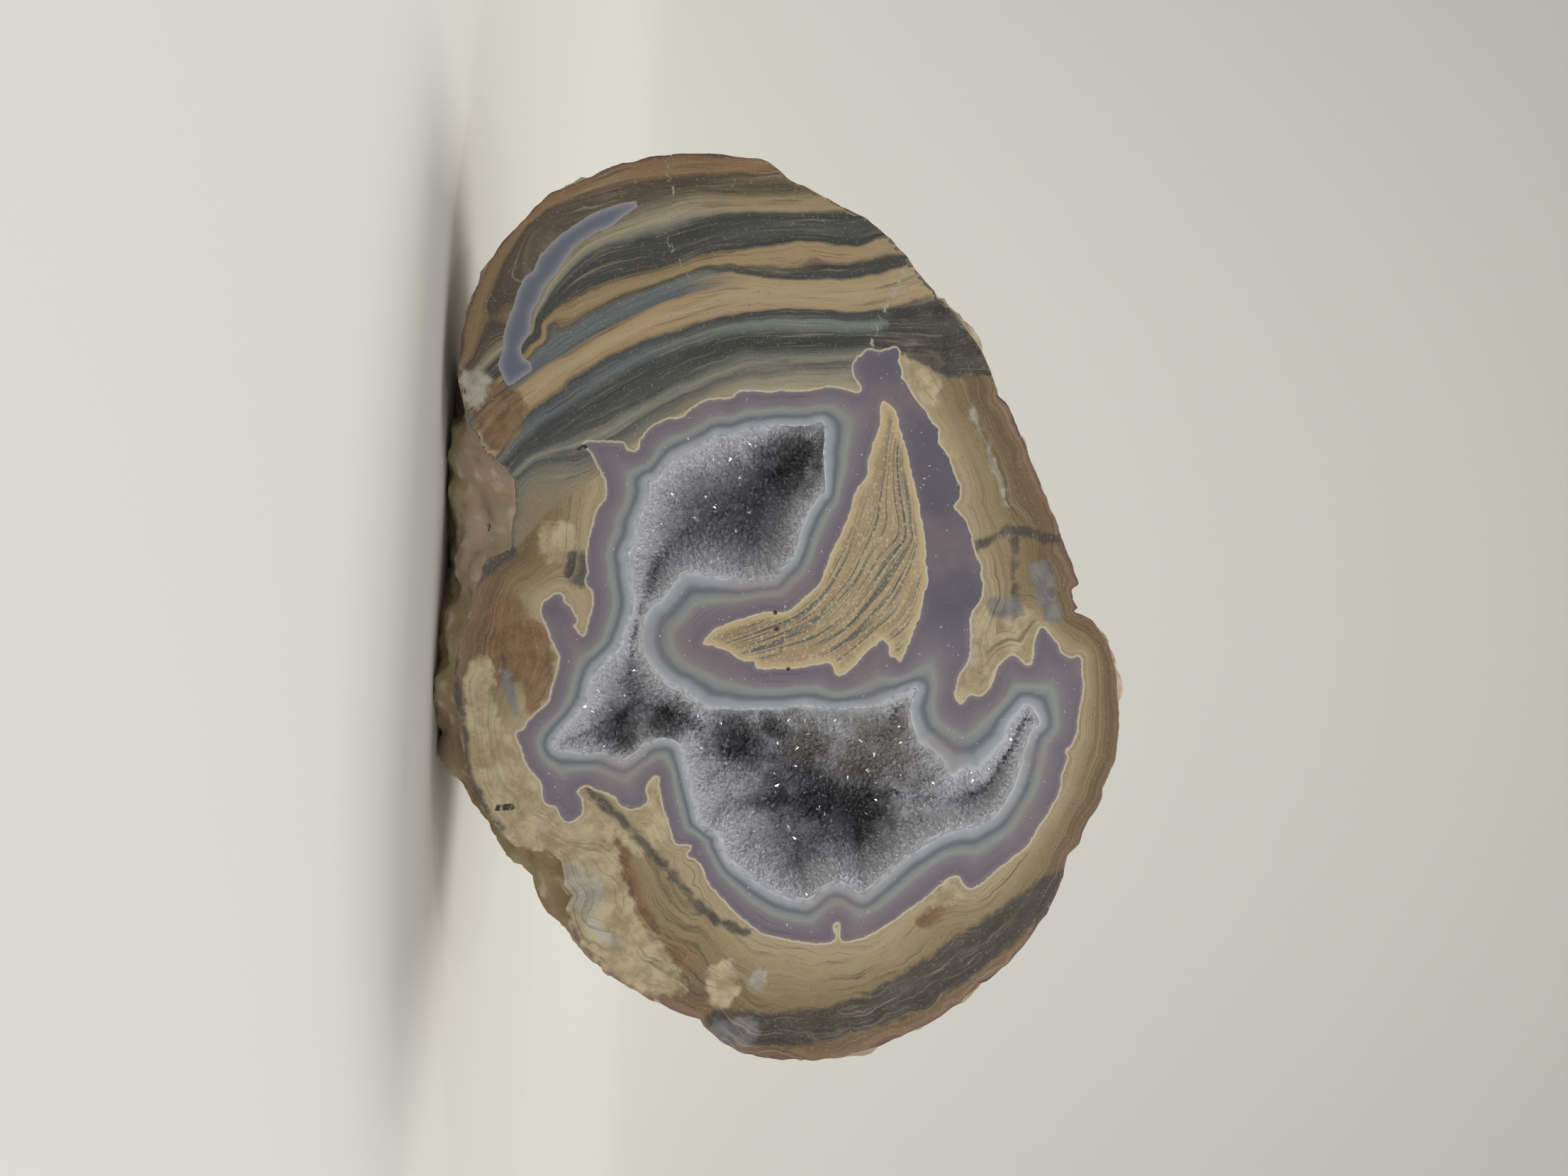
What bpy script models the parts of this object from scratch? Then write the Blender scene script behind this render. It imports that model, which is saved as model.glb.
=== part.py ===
"""Half of a Dugway geode, sawn through and polished, standing on its rough rind.

The stone is a rhyolite nodule with a core of banded chalcedony. A C-shaped hollow opens in the
polished face, and a crust of drusy quartz lines it. The polished face looks along -Y, +X runs to
the right across it and +Z is up. The origin is under the middle of the stone, on the surface
that it stands on.
"""

import math

import bmesh
import bpy
import numpy as np
from mathutils import Vector, noise
from mathutils.geometry import delaunay_2d_cdt

MM = 0.001

# Driving sizes, in millimetres.
DEPTH = 64.0  # from the polished face to the back of the rind, before its lumps
FACE_Y = -32.5  # where the polished face stands
GIRTH_DEPTH = 9.0  # how far behind the face the rind is widest
ROUNDNESS = 2.5  # power of the rind's superellipse from the girth to the back
FOOT_BULGE = 8.0  # the lobe under the stone, before its flat spot
FOOT_SPAN = (7.0, 54.0)  # where that lobe starts and ends behind the face
LUMP_START = 4.0  # the lumps grow from nothing over this depth behind the face
WALL = 2.2  # height of the hollow's wall just behind the face
HOLLOW_DEPTH = 16.0
HOLLOW_SLOPE = 4.0  # the hollow reaches two thirds of its depth this far from its edge
HOLLOW_RELIEF = 1.6  # swells on the hollow's floor
CRUST_GAP = 0.3  # between the stone and the crust at the hollow's edge
CRUST_LIFT = 0.8  # the same gap under the crust, along Y
CRUST_THICKNESS = 2.2  # along Y
CRYSTAL_SPACING = 2.0
CRYSTAL_HEIGHT = 0.75
FLOOR_SPACING = 3.2  # between the points of the hollow's bare floor
MEAN_RADIUS = 57.0  # of the polished face, for the spacing of the rind's points
RIND_SPACING = 3.4
BACK_EVENED = math.radians(16.0)  # notches are evened out over this turn to each side
EVEN_DEPTH = 30.0  # and over this depth behind the girth
BACK_LEAN = 0.08  # the back of the stone rises by this share of its depth
TURNS = np.linspace(-math.pi, math.pi, 720, endpoint=False)

# The outlines below are (across, up) on the polished face, in millimetres. They were measured on
# the stone as it leans, so FACE_ROLL levels the spot that it stands on.
FACE_ROLL = math.radians(2.04)
MIDDLE_ACROSS = 84.3
FLOOR_UP = 61.0
HUB = (86.0, 108.0)  # the rind's columns fan out from here

# The edge that the polished face and the widest outline share, from lower left over the top.
SHARED_EDGE = (
    (56.0, 65.2), (53.8, 64.7), (50.6, 64.8), (47.4, 65.1), (42.3, 66.5), (37.5, 68.8),
    (33.2, 71.8), (29.4, 75.3), (26.4, 79.8), (24.1, 84.9), (22.6, 90.0), (21.8, 94.8),
    (21.7, 100.8), (22.9, 108.4), (24.1, 110.0), (27.4, 115.6), (32.0, 123.7), (35.8, 127.5),
    (41.1, 131.8), (42.5, 133.1), (44.7, 135.1), (49.3, 138.3), (55.7, 140.7), (56.8, 141.9),
    (64.8, 145.3), (74.2, 149.3), (82.5, 152.1), (84.0, 151.3), (86.3, 151.4), (87.5, 154.1),
    (90.0, 155.9), (94.1, 157.3), (100.6, 157.9), (107.3, 157.2), (111.6, 155.5), (119.1, 152.1),
    (125.0, 149.5), (129.1, 147.5), (135.4, 142.7), (138.6, 138.6), (144.6, 130.5), (149.3, 118.4),
    (149.5, 110.0), (148.4, 104.5), (145.7, 100.2), (143.8, 98.8),
)
# The rest of the polished face, where the rind below it stands proud.
FACE_FOOT = (
    (142.6, 95.2), (138.2, 87.0), (134.2, 82.7), (130.2, 80.1), (127.9, 79.8),
    (125.0, 79.5), (121.3, 79.2), (120.1, 77.2), (119.5, 72.9), (116.7, 69.9), (112.9, 67.5),
    (108.3, 65.6), (101.7, 65.2), (96.0, 63.9), (90.9, 64.6), (87.4, 66.4), (83.0, 67.1),
    (78.7, 68.9), (77.4, 72.2), (73.6, 72.2), (70.5, 72.7), (67.6, 72.5), (65.4, 70.7),
    (61.7, 67.4), (58.5, 65.7),
)
# The rest of the widest outline.
GIRTH_FOOT = (
    (142.9, 94.9), (139.7, 88.0), (138.8, 85.0), (133.3, 80.1), (127.6, 76.6), (123.8, 74.1),
    (122.3, 71.0), (118.7, 68.3), (114.1, 66.3), (110.5, 64.9), (106.9, 62.4), (100.6, 61.6),
    (95.7, 61.4), (91.7, 62.6), (86.4, 62.5), (80.2, 63.9), (73.9, 63.7), (67.2, 64.1),
    (64.9, 62.9), (60.7, 63.8), (59.8, 65.2),
)
# The hollow's edge in the polished face, round the upper hollow, the channel, the lower hollow
# with its hook, and back under the lobe between them.
HOLLOW_EDGE = (
    (59.8, 116.1), (60.2, 113.6), (60.1, 109.7), (60.8, 104.9), (61.5, 101.3), (62.4, 99.9),
    (63.1, 98.0), (64.9, 94.9), (66.5, 93.4), (69.3, 91.5), (71.3, 91.0), (73.6, 89.9),
    (76.7, 89.3), (78.2, 88.4), (80.5, 88.8), (84.6, 89.3), (88.2, 88.5), (91.8, 86.9),
    (94.6, 84.1), (98.9, 82.7), (102.2, 80.0), (105.0, 78.1), (105.8, 80.3), (106.1, 84.1),
    (107.3, 87.4), (106.2, 90.0), (104.3, 92.3), (104.1, 93.8), (105.5, 96.1), (109.9, 97.0),
    (115.8, 98.6), (117.7, 101.3), (120.2, 102.0), (123.4, 105.3), (126.1, 109.8), (127.1, 114.3),
    (124.7, 117.8), (126.3, 121.4), (123.4, 125.1), (119.6, 129.9), (117.0, 135.0), (116.2, 138.2),
    (113.2, 141.7), (108.1, 143.9), (103.0, 145.5), (100.8, 146.1), (99.5, 144.9), (102.5, 142.2),
    (105.9, 140.4), (108.6, 137.9), (109.2, 134.3), (105.6, 131.2), (102.7, 128.8), (99.0, 128.1),
    (98.5, 126.1), (100.0, 120.0), (99.7, 113.0), (100.1, 108.1), (100.2, 105.3), (99.9, 99.7),
    (97.4, 96.4), (94.8, 92.5), (91.3, 90.5), (87.4, 90.8), (84.6, 93.3), (81.3, 95.9),
    (80.8, 97.4), (82.1, 104.5), (81.8, 107.8), (80.3, 110.1), (77.4, 112.3), (73.3, 113.5),
    (69.9, 115.6), (68.9, 116.4), (64.0, 116.3),
)
# Swells and pits of the hollow's floor: (across, up), radius and height, all in millimetres.
FLOOR_FORMS = (
    ((105.5, 122.0), 6.5, 6.0),  # the grey mass at the back of the lower hollow
    ((109.5, 104.0), 4.0, 4.0),
    ((116.0, 108.5), 4.5, 3.0),
    ((114.0, 130.0), 5.0, 3.5),
    ((113.5, 117.5), 4.5, -3.0),
    ((103.5, 104.0), 3.5, -3.0),
    ((68.0, 108.0), 6.0, -1.5),
)

# Lumps of the rind: their size, and how far each kind stands out.
KNOBS = ((15.0, 2.6), (7.0, 1.3))
SWELL = (26.0, 1.6)
LEDGES = (9.0, 1.1)  # spacing and height of the worn edges of the flow bands
LEDGE_TILT = math.radians(24.0)


def clear_scene():
    for obj in list(bpy.data.objects):
        bpy.data.objects.remove(obj, do_unlink=True)


def make_material(name, colour, roughness):
    made = bpy.data.materials.new(name)
    made.use_nodes = True
    shader = made.node_tree.nodes["Principled BSDF"]
    shader.inputs["Base Color"].default_value = (*colour, 1.0)
    shader.inputs["Roughness"].default_value = roughness
    shader.inputs["Metallic"].default_value = 0.0
    return made


def levelled(across, up):
    """The (x, z) of a point measured on the polished face."""
    u, w = across - MIDDLE_ACROSS, up - FLOOR_UP
    return (
        u * math.cos(FACE_ROLL) - w * math.sin(FACE_ROLL),
        u * math.sin(FACE_ROLL) + w * math.cos(FACE_ROLL),
    )


def place(x, depth, z):
    """A point in metres, depth being counted back from the polished face."""
    return Vector((x, FACE_Y + depth, z)) * MM


def signed_distance(outline, x, z):
    """How far a point is inside a closed outline. It is negative outside."""
    nearest, inside = math.inf, False
    for (ax, az), (bx, bz) in zip(outline, outline[1:] + outline[:1]):
        ex, ez = bx - ax, bz - az
        along = ((x - ax) * ex + (z - az) * ez) / (ex * ex + ez * ez)
        along = min(max(along, 0.0), 1.0)
        nearest = min(nearest, math.hypot(ax + along * ex - x, az + along * ez - z))
        if (az > z) != (bz > z) and x < ax + (z - az) / ez * ex:
            inside = not inside
    return nearest if inside else -nearest


def reach(outline, hub, angle):
    """How far the outline lies from the hub in one direction."""
    dx, dz = math.cos(angle), math.sin(angle)
    furthest = 0.0
    for (ax, az), (bx, bz) in zip(outline, outline[1:] + outline[:1]):
        ex, ez = bx - ax, bz - az
        turn = dx * ez - dz * ex
        if abs(turn) < 1e-9:
            continue
        hx, hz = ax - hub[0], az - hub[1]
        ray, along = (hx * ez - hz * ex) / turn, (hx * dz - hz * dx) / turn
        if ray > 0 and 0 <= along <= 1:
            furthest = max(furthest, ray)
    return furthest


def inset(outline, distance):
    """The outline moved inwards. It runs clockwise as seen from the front."""
    moved = []
    count = len(outline)
    for i, (x, z) in enumerate(outline):
        before = Vector((x, z)) - Vector(outline[i - 1])
        after = Vector(outline[(i + 1) % count]) - Vector((x, z))
        side = before.normalized() + after.normalized()
        normal = Vector((side.y, -side.x)).normalized()
        first = Vector((before.y, -before.x)).normalized()
        stretch = max(normal.dot(first), 0.6)
        moved.append((x + normal.x * distance / stretch, z + normal.y * distance / stretch))
    return moved


def clockwise(outline):
    area = sum(ax * bz - bx * az for (ax, az), (bx, bz) in zip(outline, outline[1:] + outline[:1]))
    return outline if area < 0 else outline[::-1]


def knob(point, size):
    """A rounded wart in each cell of an uneven grid, from 0 between warts to 1 on top."""
    distance = noise.voronoi(point / size)[0][0]
    return max(0.0, 1.0 - 1.6 * distance * distance)


def ledge(point, spacing):
    """Worn steps along the flow bands, from 0 to 1."""
    height = point.z * math.cos(LEDGE_TILT) - point.x * math.sin(LEDGE_TILT)
    height += 3.0 * noise.noise(point / 30.0)
    share = (height / spacing) % 1.0
    return min(share, (1.0 - share) * 4.0)


def lump_height(point):
    height = sum(tall * (knob(point, size) - 0.5) for size, tall in KNOBS)
    height += SWELL[1] * noise.noise(point / SWELL[0])
    return height + LEDGES[1] * (ledge(point, LEDGES[0]) - 0.5)


def reach_table(outline, hub):
    """How far the outline lies from the hub in every direction of TURNS."""
    return np.array([reach(outline, hub, angle) for angle in TURNS])


def widened(table, span):
    """The table with its notches and corners evened out over a span of directions."""
    steps = round(span / (TURNS[1] - TURNS[0]))
    shifted = [np.roll(table, shift) for shift in range(-steps, steps + 1)]
    return np.mean(shifted, axis=0)


def profile(turn):
    """(share of the radius, depth) along the rind, from the face at 0 to the back at 1."""
    angle = turn * math.pi / 2
    power = 2 / ROUNDNESS
    return math.cos(angle) ** power, DEPTH * math.sin(angle) ** power


class Rind:
    """The rough outside of the stone, behind the edge of its polished face."""

    def __init__(self, face_edge, girth):
        self.hub = levelled(*HUB)
        self.face = reach_table(face_edge, self.hub)
        self.girth = np.maximum(self.face, reach_table(girth, self.hub))
        self.back = widened(self.girth, BACK_EVENED)

    def radius(self, angle, depth):
        """How far the rind lies from the hub, before it closes towards the back."""
        face, girth, back = (
            float(np.interp(angle, TURNS, table, period=2 * math.pi))
            for table in (self.face, self.girth, self.back)
        )
        spread = math.sin(min(depth / GIRTH_DEPTH, 1.0) * math.pi / 2)
        even = min(max(depth - GIRTH_DEPTH, 0.0) / EVEN_DEPTH, 1.0)
        front = face + (girth - face) * spread
        return front + (back - girth) * even

    def point(self, angle, turn):
        """A point of the rind in one direction. turn goes from 0 at the face to 1 at the back."""
        share, depth = profile(turn)
        radius = self.radius(angle, depth) * share
        start, end = FOOT_SPAN
        lobe = min(max((depth - start) / (end - start), 0.0), 1.0)
        down = max(0.0, -math.sin(angle)) ** 3
        radius += FOOT_BULGE * down * math.sin(lobe * math.pi)
        lean = BACK_LEAN * depth * (1 - share)
        x = self.hub[0] + radius * math.cos(angle)
        z = self.hub[1] + radius * math.sin(angle) + lean
        point = Vector((x, depth, z))
        middle = Vector((self.hub[0], DEPTH * 0.2, self.hub[1]))
        grown = min(depth / LUMP_START, 1.0)
        return point + (point - middle).normalized() * lump_height(point) * grown


def hollow_depth(edge, x, z):
    """How deep the stone's hollow is behind the face at a point inside its edge."""
    full = HOLLOW_DEPTH + HOLLOW_RELIEF * noise.noise(Vector((x, 0.0, z)) / 6.0)
    for centre, radius, height in FLOOR_FORMS:
        cx, cz = levelled(*centre)
        full -= height * math.exp(-((x - cx) ** 2 + (z - cz) ** 2) / radius**2)
    inward = max(signed_distance(edge, x, z), 0.0)
    return WALL + (full - WALL) * (1 - math.exp(-inward / HOLLOW_SLOPE))


def points_inside(loop, spacing, margin):
    """An uneven honeycomb of points that keep clear of the loop."""
    found = []
    low_x, high_x = min(x for x, _ in loop), max(x for x, _ in loop)
    low_z, high_z = min(z for _, z in loop), max(z for _, z in loop)
    rows = int((high_z - low_z) / (spacing * 0.866)) + 1
    columns = int((high_x - low_x) / spacing) + 2
    for row in range(rows):
        for column in range(columns):
            x = low_x + (column + 0.5 * (row % 2)) * spacing
            z = low_z + row * spacing * 0.866
            x += 0.28 * spacing * noise.noise(Vector((x, z, 3.0)))
            z += 0.28 * spacing * noise.noise(Vector((x, z, 9.0)))
            if signed_distance(loop, x, z) > margin:
                found.append((x, z))
    return found


def triangles_inside(loop, inner):
    """Triangles over a closed loop and the points inside it, as indices into loop + inner."""
    points = [Vector(point) for point in loop + inner]
    edges = [(i, (i + 1) % len(loop)) for i in range(len(loop))]
    return delaunay_2d_cdt(points, edges, [], 1, 1e-6)[2]


def add_sheet(bm, points, depths, triangles):
    """A surface over points of the face, each at its own depth."""
    verts = [bm.verts.new(place(x, depth, z)) for (x, z), depth in zip(points, depths)]
    return [bm.faces.new([verts[i] for i in face]) for face in triangles]


def add_loop(bm, outline, depth):
    verts = [bm.verts.new(place(x, depth, z)) for x, z in outline]
    return [bm.edges.new((a, b)) for a, b in zip(verts, verts[1:] + verts[:1])]


def rind_rings():
    """Rings of even spacing over the rind: each a turn, its radius on a flat disc and its count.

    The disc is a conformal map of the rind, so that triangles which are good on one are good on
    the other.
    """
    turns = np.linspace(0.0, 1.0, 4001)
    profiles = np.array([profile(turn) for turn in turns])
    around, depths = profiles[:, 0] * MEAN_RADIUS, profiles[:, 1]
    steps = np.hypot(np.diff(around), np.diff(depths))
    run = np.concatenate([[0.0], np.cumsum(steps)])
    shrink = np.concatenate([[0.0], np.cumsum(steps / np.maximum(around[:-1], 1e-3))])
    rings = []
    distance = RIND_SPACING / 2
    while distance < run[-1] - RIND_SPACING / 2:
        turn = float(np.interp(distance, run, turns))
        radius = math.exp(-float(np.interp(distance, run, shrink)))
        girth = 2 * math.pi * float(np.interp(distance, run, around))
        rings.append((turn, radius, max(round(girth / RIND_SPACING), 5)))
        distance += RIND_SPACING * 0.9
    return rings


def add_rind(bm, face_edge, girth):
    """The rind from the face's edge to the back. Returns the edges round the face."""
    rind = Rind(face_edge, girth)
    angles = [math.atan2(z - rind.hub[1], x - rind.hub[0]) for x, z in face_edge]
    loop = [(math.cos(angle), math.sin(angle)) for angle in angles]
    inner = [(0.0, 0.0)]
    verts = [bm.verts.new(place(x, 0.0, z)) for x, z in face_edge]
    verts.append(bm.verts.new(place(*rind.point(0.0, 1.0))))
    for number, (turn, radius, count) in enumerate(rind_rings()):
        for i in range(count):
            angle = 2 * math.pi * (i + 0.5 * (number % 2)) / count
            inner.append((radius * math.cos(angle), radius * math.sin(angle)))
            verts.append(bm.verts.new(place(*rind.point(angle, turn))))
    for face in triangles_inside(loop, inner):
        bm.faces.new([verts[i] for i in face])
    around = verts[:len(face_edge)]
    return [bm.edges.get(pair) for pair in zip(around, around[1:] + around[:1])]


def stand_flat(bm):
    """Cuts the foot off level, which leaves the spot that the stone stands on."""
    whole = bm.verts[:] + bm.edges[:] + bm.faces[:]
    cut = bmesh.ops.bisect_plane(
        bm, geom=whole, plane_co=(0, 0, 0), plane_no=(0, 0, 1), clear_inner=True
    )
    rim = [item for item in cut["geom_cut"] if isinstance(item, bmesh.types.BMEdge)]
    bmesh.ops.triangle_fill(bm, use_beauty=True, edges=rim)


def finish_object(bm, name, material, collection):
    bmesh.ops.remove_doubles(bm, verts=bm.verts[:], dist=0.002 * MM)
    bmesh.ops.triangulate(bm, faces=[face for face in bm.faces if len(face.verts) > 3])
    bmesh.ops.recalc_face_normals(bm, faces=bm.faces[:])
    mesh = bpy.data.meshes.new(name)
    bm.to_mesh(mesh)
    bm.free()
    mesh.materials.append(material)
    made = bpy.data.objects.new(name, mesh)
    collection.objects.link(made)
    return made


def make_stone(collection, face_edge, girth, edge, floor_points, floor_triangles):
    """The rhyolite and its chalcedony core: one closed solid with the hollow in its face."""
    bm = bmesh.new()
    around_face = add_rind(bm, face_edge, girth)
    around_hollow = add_loop(bm, edge, 0.0)
    bmesh.ops.triangle_fill(bm, use_beauty=True, edges=around_face + around_hollow)
    wall = bmesh.ops.extrude_edge_only(bm, edges=around_hollow)["geom"]
    wall_foot = [item for item in wall if isinstance(item, bmesh.types.BMVert)]
    bmesh.ops.translate(bm, verts=wall_foot, vec=Vector((0, WALL * MM, 0)))
    depths = [WALL] * len(edge)
    depths += [hollow_depth(edge, x, z) for x, z in floor_points[len(edge):]]
    add_sheet(bm, floor_points, depths, floor_triangles)
    stand_flat(bm)
    material = make_material("rhyolite", (0.36, 0.27, 0.19), 0.55)
    return finish_object(bm, "stone", material, collection)


def grow_crystals(bm, faces):
    """A three-sided quartz point on each face, its height by the face's size."""
    for face in faces:
        size = math.sqrt(face.calc_area()) / (CRYSTAL_SPACING * MM)
        middle = face.calc_center_median()
        chance = noise.noise(middle / (1.7 * MM))
        height = CRYSTAL_HEIGHT * MM * min(size, 1.0) * (1.0 + 0.6 * chance)
        behind_face = middle.y - FACE_Y * MM
        height = min(height, 0.7 * behind_face)
        bmesh.ops.poke(bm, faces=[face], offset=height)


def make_crust(collection, edge, floor_points, floor_triangles):
    """The drusy quartz that lines the hollow, as one crust with flat-faced points."""
    bm = bmesh.new()
    rim = inset(edge, CRUST_GAP)
    lining_drop = CRUST_LIFT + CRUST_THICKNESS
    inner = points_inside(rim, CRYSTAL_SPACING, CRYSTAL_SPACING * 0.45)
    depths = [0.0] * len(rim)
    depths += [max(hollow_depth(edge, x, z) - lining_drop, 0.3) for x, z in inner]
    lining = add_sheet(bm, rim + inner, depths, triangles_inside(rim, inner))
    bmesh.ops.recalc_face_normals(bm, faces=lining)
    if sum(face.normal.y for face in lining) > 0:
        bmesh.ops.reverse_faces(bm, faces=lining)
    bm.normal_update()
    grow_crystals(bm, lining)

    back_points = rim + floor_points[len(edge):]
    back_rim_depth = WALL - CRUST_LIFT
    depths = [back_rim_depth] * len(rim)
    depths += [hollow_depth(edge, x, z) - CRUST_LIFT for x, z in back_points[len(rim):]]
    add_sheet(bm, back_points, depths, floor_triangles)
    side = add_loop(bm, rim, 0.0) + add_loop(bm, rim, back_rim_depth)
    bmesh.ops.bridge_loops(bm, edges=side)
    material = make_material("drusy_quartz", (0.45, 0.45, 0.50), 0.18)
    return finish_object(bm, "crystal_crust", material, collection)


def main():
    clear_scene()
    collection = bpy.data.collections.new("dugway_geode")
    bpy.context.scene.collection.children.link(collection)
    face_edge = [levelled(*point) for point in SHARED_EDGE + FACE_FOOT]
    girth = [levelled(*point) for point in SHARED_EDGE + GIRTH_FOOT]
    edge = clockwise([levelled(*point) for point in HOLLOW_EDGE])
    inner = points_inside(edge, FLOOR_SPACING, FLOOR_SPACING * 0.4)
    floor_points = edge + inner
    floor_triangles = triangles_inside(edge, inner)
    make_stone(collection, face_edge, girth, edge, floor_points, floor_triangles)
    make_crust(collection, edge, floor_points, floor_triangles)


main()
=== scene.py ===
"""The looks of half a Dugway geode: banded rhyolite, a chalcedony core and a druse-lined hollow.

The polished face looks along -Y. Its patterns come from outlines and flow lines that were traced on
it, as (up, across) in tenths of a millimetre. They become fields on the face's mesh, and the
materials turn those fields into bands, layers, cracks and stains.
"""

import math

import bmesh
import bpy
import numpy as np
from mathutils import Matrix, Vector, noise
from mathutils.geometry import delaunay_2d_cdt
from mathutils.kdtree import KDTree


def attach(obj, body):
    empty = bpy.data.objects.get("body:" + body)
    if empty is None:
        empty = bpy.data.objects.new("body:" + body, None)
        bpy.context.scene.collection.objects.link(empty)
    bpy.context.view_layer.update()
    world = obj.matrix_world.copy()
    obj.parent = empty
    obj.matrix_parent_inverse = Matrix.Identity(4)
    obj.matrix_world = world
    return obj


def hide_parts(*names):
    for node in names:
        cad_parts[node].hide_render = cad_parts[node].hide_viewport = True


bl_info = {
    "name": "Dugway Geode",
    "version": (1, 0, 0),
    "blender": (4, 5, 0),
    "location": "View3D > Sidebar > Geode",
    "description": "Dresses a sawn and polished geode: its stone, its druse and its stage",
    "category": "Add Mesh",
}

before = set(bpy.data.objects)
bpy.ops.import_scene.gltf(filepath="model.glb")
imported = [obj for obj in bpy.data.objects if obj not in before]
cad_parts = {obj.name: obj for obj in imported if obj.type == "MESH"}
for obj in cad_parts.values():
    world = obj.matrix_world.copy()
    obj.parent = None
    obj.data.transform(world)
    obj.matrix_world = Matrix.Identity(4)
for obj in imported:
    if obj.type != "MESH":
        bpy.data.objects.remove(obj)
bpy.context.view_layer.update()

MM = 0.001
TRACE = 0.1  # millimetres to one step of a traced outline

# The stone's own sizes, as its solid has them. Lengths are in millimetres.
DEPTH = 64.0
FACE_Y = -32.5
GIRTH_DEPTH = 9.0  # where the rind is widest
ROUNDNESS = 2.5
FOOT_BULGE = 8.0
FOOT_SPAN = (7.0, 54.0)
FOOT_NARROWING = 3
LUMP_START = 4.0
WALL = 2.2  # of the hollow's side, straight down from the face
HOLLOW_DEPTH = 16.0
HOLLOW_SLOPE = 4.0
HOLLOW_SWELL = 6.0
HOLLOW_RELIEF = 1.6
LINING = 3.0  # from the hollow's bare floor to the druse's surface
MEAN_RADIUS = 57.0
BACK_EVENED = math.radians(16.0)
EVEN_DEPTH = 30.0
BACK_LEAN = 0.08
MIDDLE_DEPTH = 0.2
TURNS = np.linspace(-math.pi, math.pi, 1440, endpoint=False)  # directions from the hub

# Where the traced face stands in the frame: its roll, its middle and the floor under it.
FACE_ROLL = math.radians(2.04)
MIDDLE_ACROSS = 84.3
FLOOR_UP = 61.0

# Forms of the rind. A pair is a size across and a height, in millimetres.
KNOBS = ((15.0, 2.6), (7.0, 1.3))
SWELL = (26.0, 1.6)
LEDGES = (9.0, 1.1)
FINE_KNOBS = ((2.8, 0.5), (1.3, 0.25))
FINE_LEDGES = (2.4, 0.35)
GRIT = (0.9, 0.12)
KNOB_FALL = 1.6
LEDGE_TILT = math.radians(24.0)
LEDGE_SWAY = 3.0
LEDGE_SWAY_SIZE = 30.0
LEDGE_STEEPNESS = 4.0
FRACTAL = (1.0, 2.0, 3)  # dimension, lacunarity and octaves of the roughest relief

# How finely the meshes follow the forms. Lengths are in millimetres.
CURVE_POINTS = 8
PROFILE_POINTS = 8001
RING_STEP = 0.9
LEAST_RING = 5
LEAST_GIRTH = 1e-3
FACE_JITTER = 0.15
FACE_CLEARANCE = 0.5
FLOOR_SPACING = 1.6
FLOOR_MARGIN = 0.7
ROW_SHARE = math.sqrt(0.75)  # of a honeycomb's spacing, from row to row
SAME_POINT = 1e-5
SEAM = 0.003  # within which the edges of two sheets are joined
TINY = 1e-9
SHARP_EDGE = math.radians(42)

# The camera stood straight in front of the polished face. In metres.
LENS = 0.070
SENSOR = 0.036
CAMERA_PLACE = (-0.0031, -0.4625, 0.0495)

# The face's free edge, from its foot at the left over the top to its foot at the right.
SILHOUETTE = (
    (657, 598), (657, 583), (652, 560), (646, 538), (648, 506), (651, 474), (657, 449),
    (665, 423), (676, 399), (688, 375), (702, 351), (718, 332), (734, 315), (753, 294),
    (775, 275), (798, 264), (823, 254), (849, 241), (874, 231), (900, 226), (925, 220),
    (948, 218), (983, 216), (1008, 217), (1027, 220), (1053, 223), (1072, 224), (1084, 229),
    (1100, 241), (1110, 250), (1125, 260), (1136, 264), (1156, 274), (1179, 287), (1199, 298),
    (1222, 308), (1237, 320), (1254, 336), (1275, 358), (1287, 374), (1303, 395), (1318, 411),
    (1321, 422), (1331, 425), (1340, 434), (1351, 447), (1369, 473), (1383, 493), (1394, 516),
    (1402, 536), (1407, 557), (1419, 568), (1426, 582), (1436, 605), (1447, 630), (1453, 648),
    (1465, 676), (1476, 704), (1486, 727), (1493, 742), (1499, 765), (1508, 785), (1516, 808),
    (1521, 825), (1512, 831), (1513, 846), (1521, 858), (1512, 863), (1526, 867), (1541, 875),
    (1550, 890), (1559, 900), (1567, 919), (1573, 941), (1577, 978), (1579, 1006), (1577, 1040),
    (1572, 1073), (1562, 1098), (1555, 1112), (1555, 1124), (1548, 1141), (1534, 1160),
    (1527, 1174), (1521, 1191), (1506, 1208), (1502, 1219), (1500, 1233), (1495, 1250),
    (1486, 1267), (1475, 1291), (1465, 1302), (1454, 1322), (1441, 1339), (1427, 1354),
    (1408, 1371), (1391, 1385), (1381, 1387), (1368, 1401), (1355, 1413), (1328, 1433),
    (1305, 1446), (1278, 1459), (1247, 1473), (1217, 1483), (1198, 1487), (1184, 1493),
    (1148, 1495), (1100, 1495), (1071, 1491), (1045, 1484), (1022, 1473), (1002, 1457),
    (991, 1446), (988, 1438),
)
# From the end of the silhouette back to its start, along the foot of the polished face.
FACE_FOOT = (
    (952, 1426), (911, 1407), (870, 1382), (858, 1373), (841, 1359), (827, 1342), (809, 1322),
    (801, 1302), (798, 1279), (812, 1267), (795, 1250), (795, 1230), (792, 1213), (772, 1201),
    (749, 1200), (729, 1195), (715, 1184), (699, 1167), (686, 1147), (675, 1129), (665, 1109),
    (656, 1083), (654, 1063), (654, 1038), (652, 1017), (643, 997), (639, 977), (639, 960),
    (641, 930), (646, 909), (656, 889), (664, 874), (671, 853), (671, 830), (678, 818),
    (679, 802), (689, 787), (722, 774), (722, 754), (722, 736), (726, 723), (727, 705),
    (725, 676), (707, 654), (694, 647), (682, 634), (674, 617), (661, 602),
)
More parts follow.
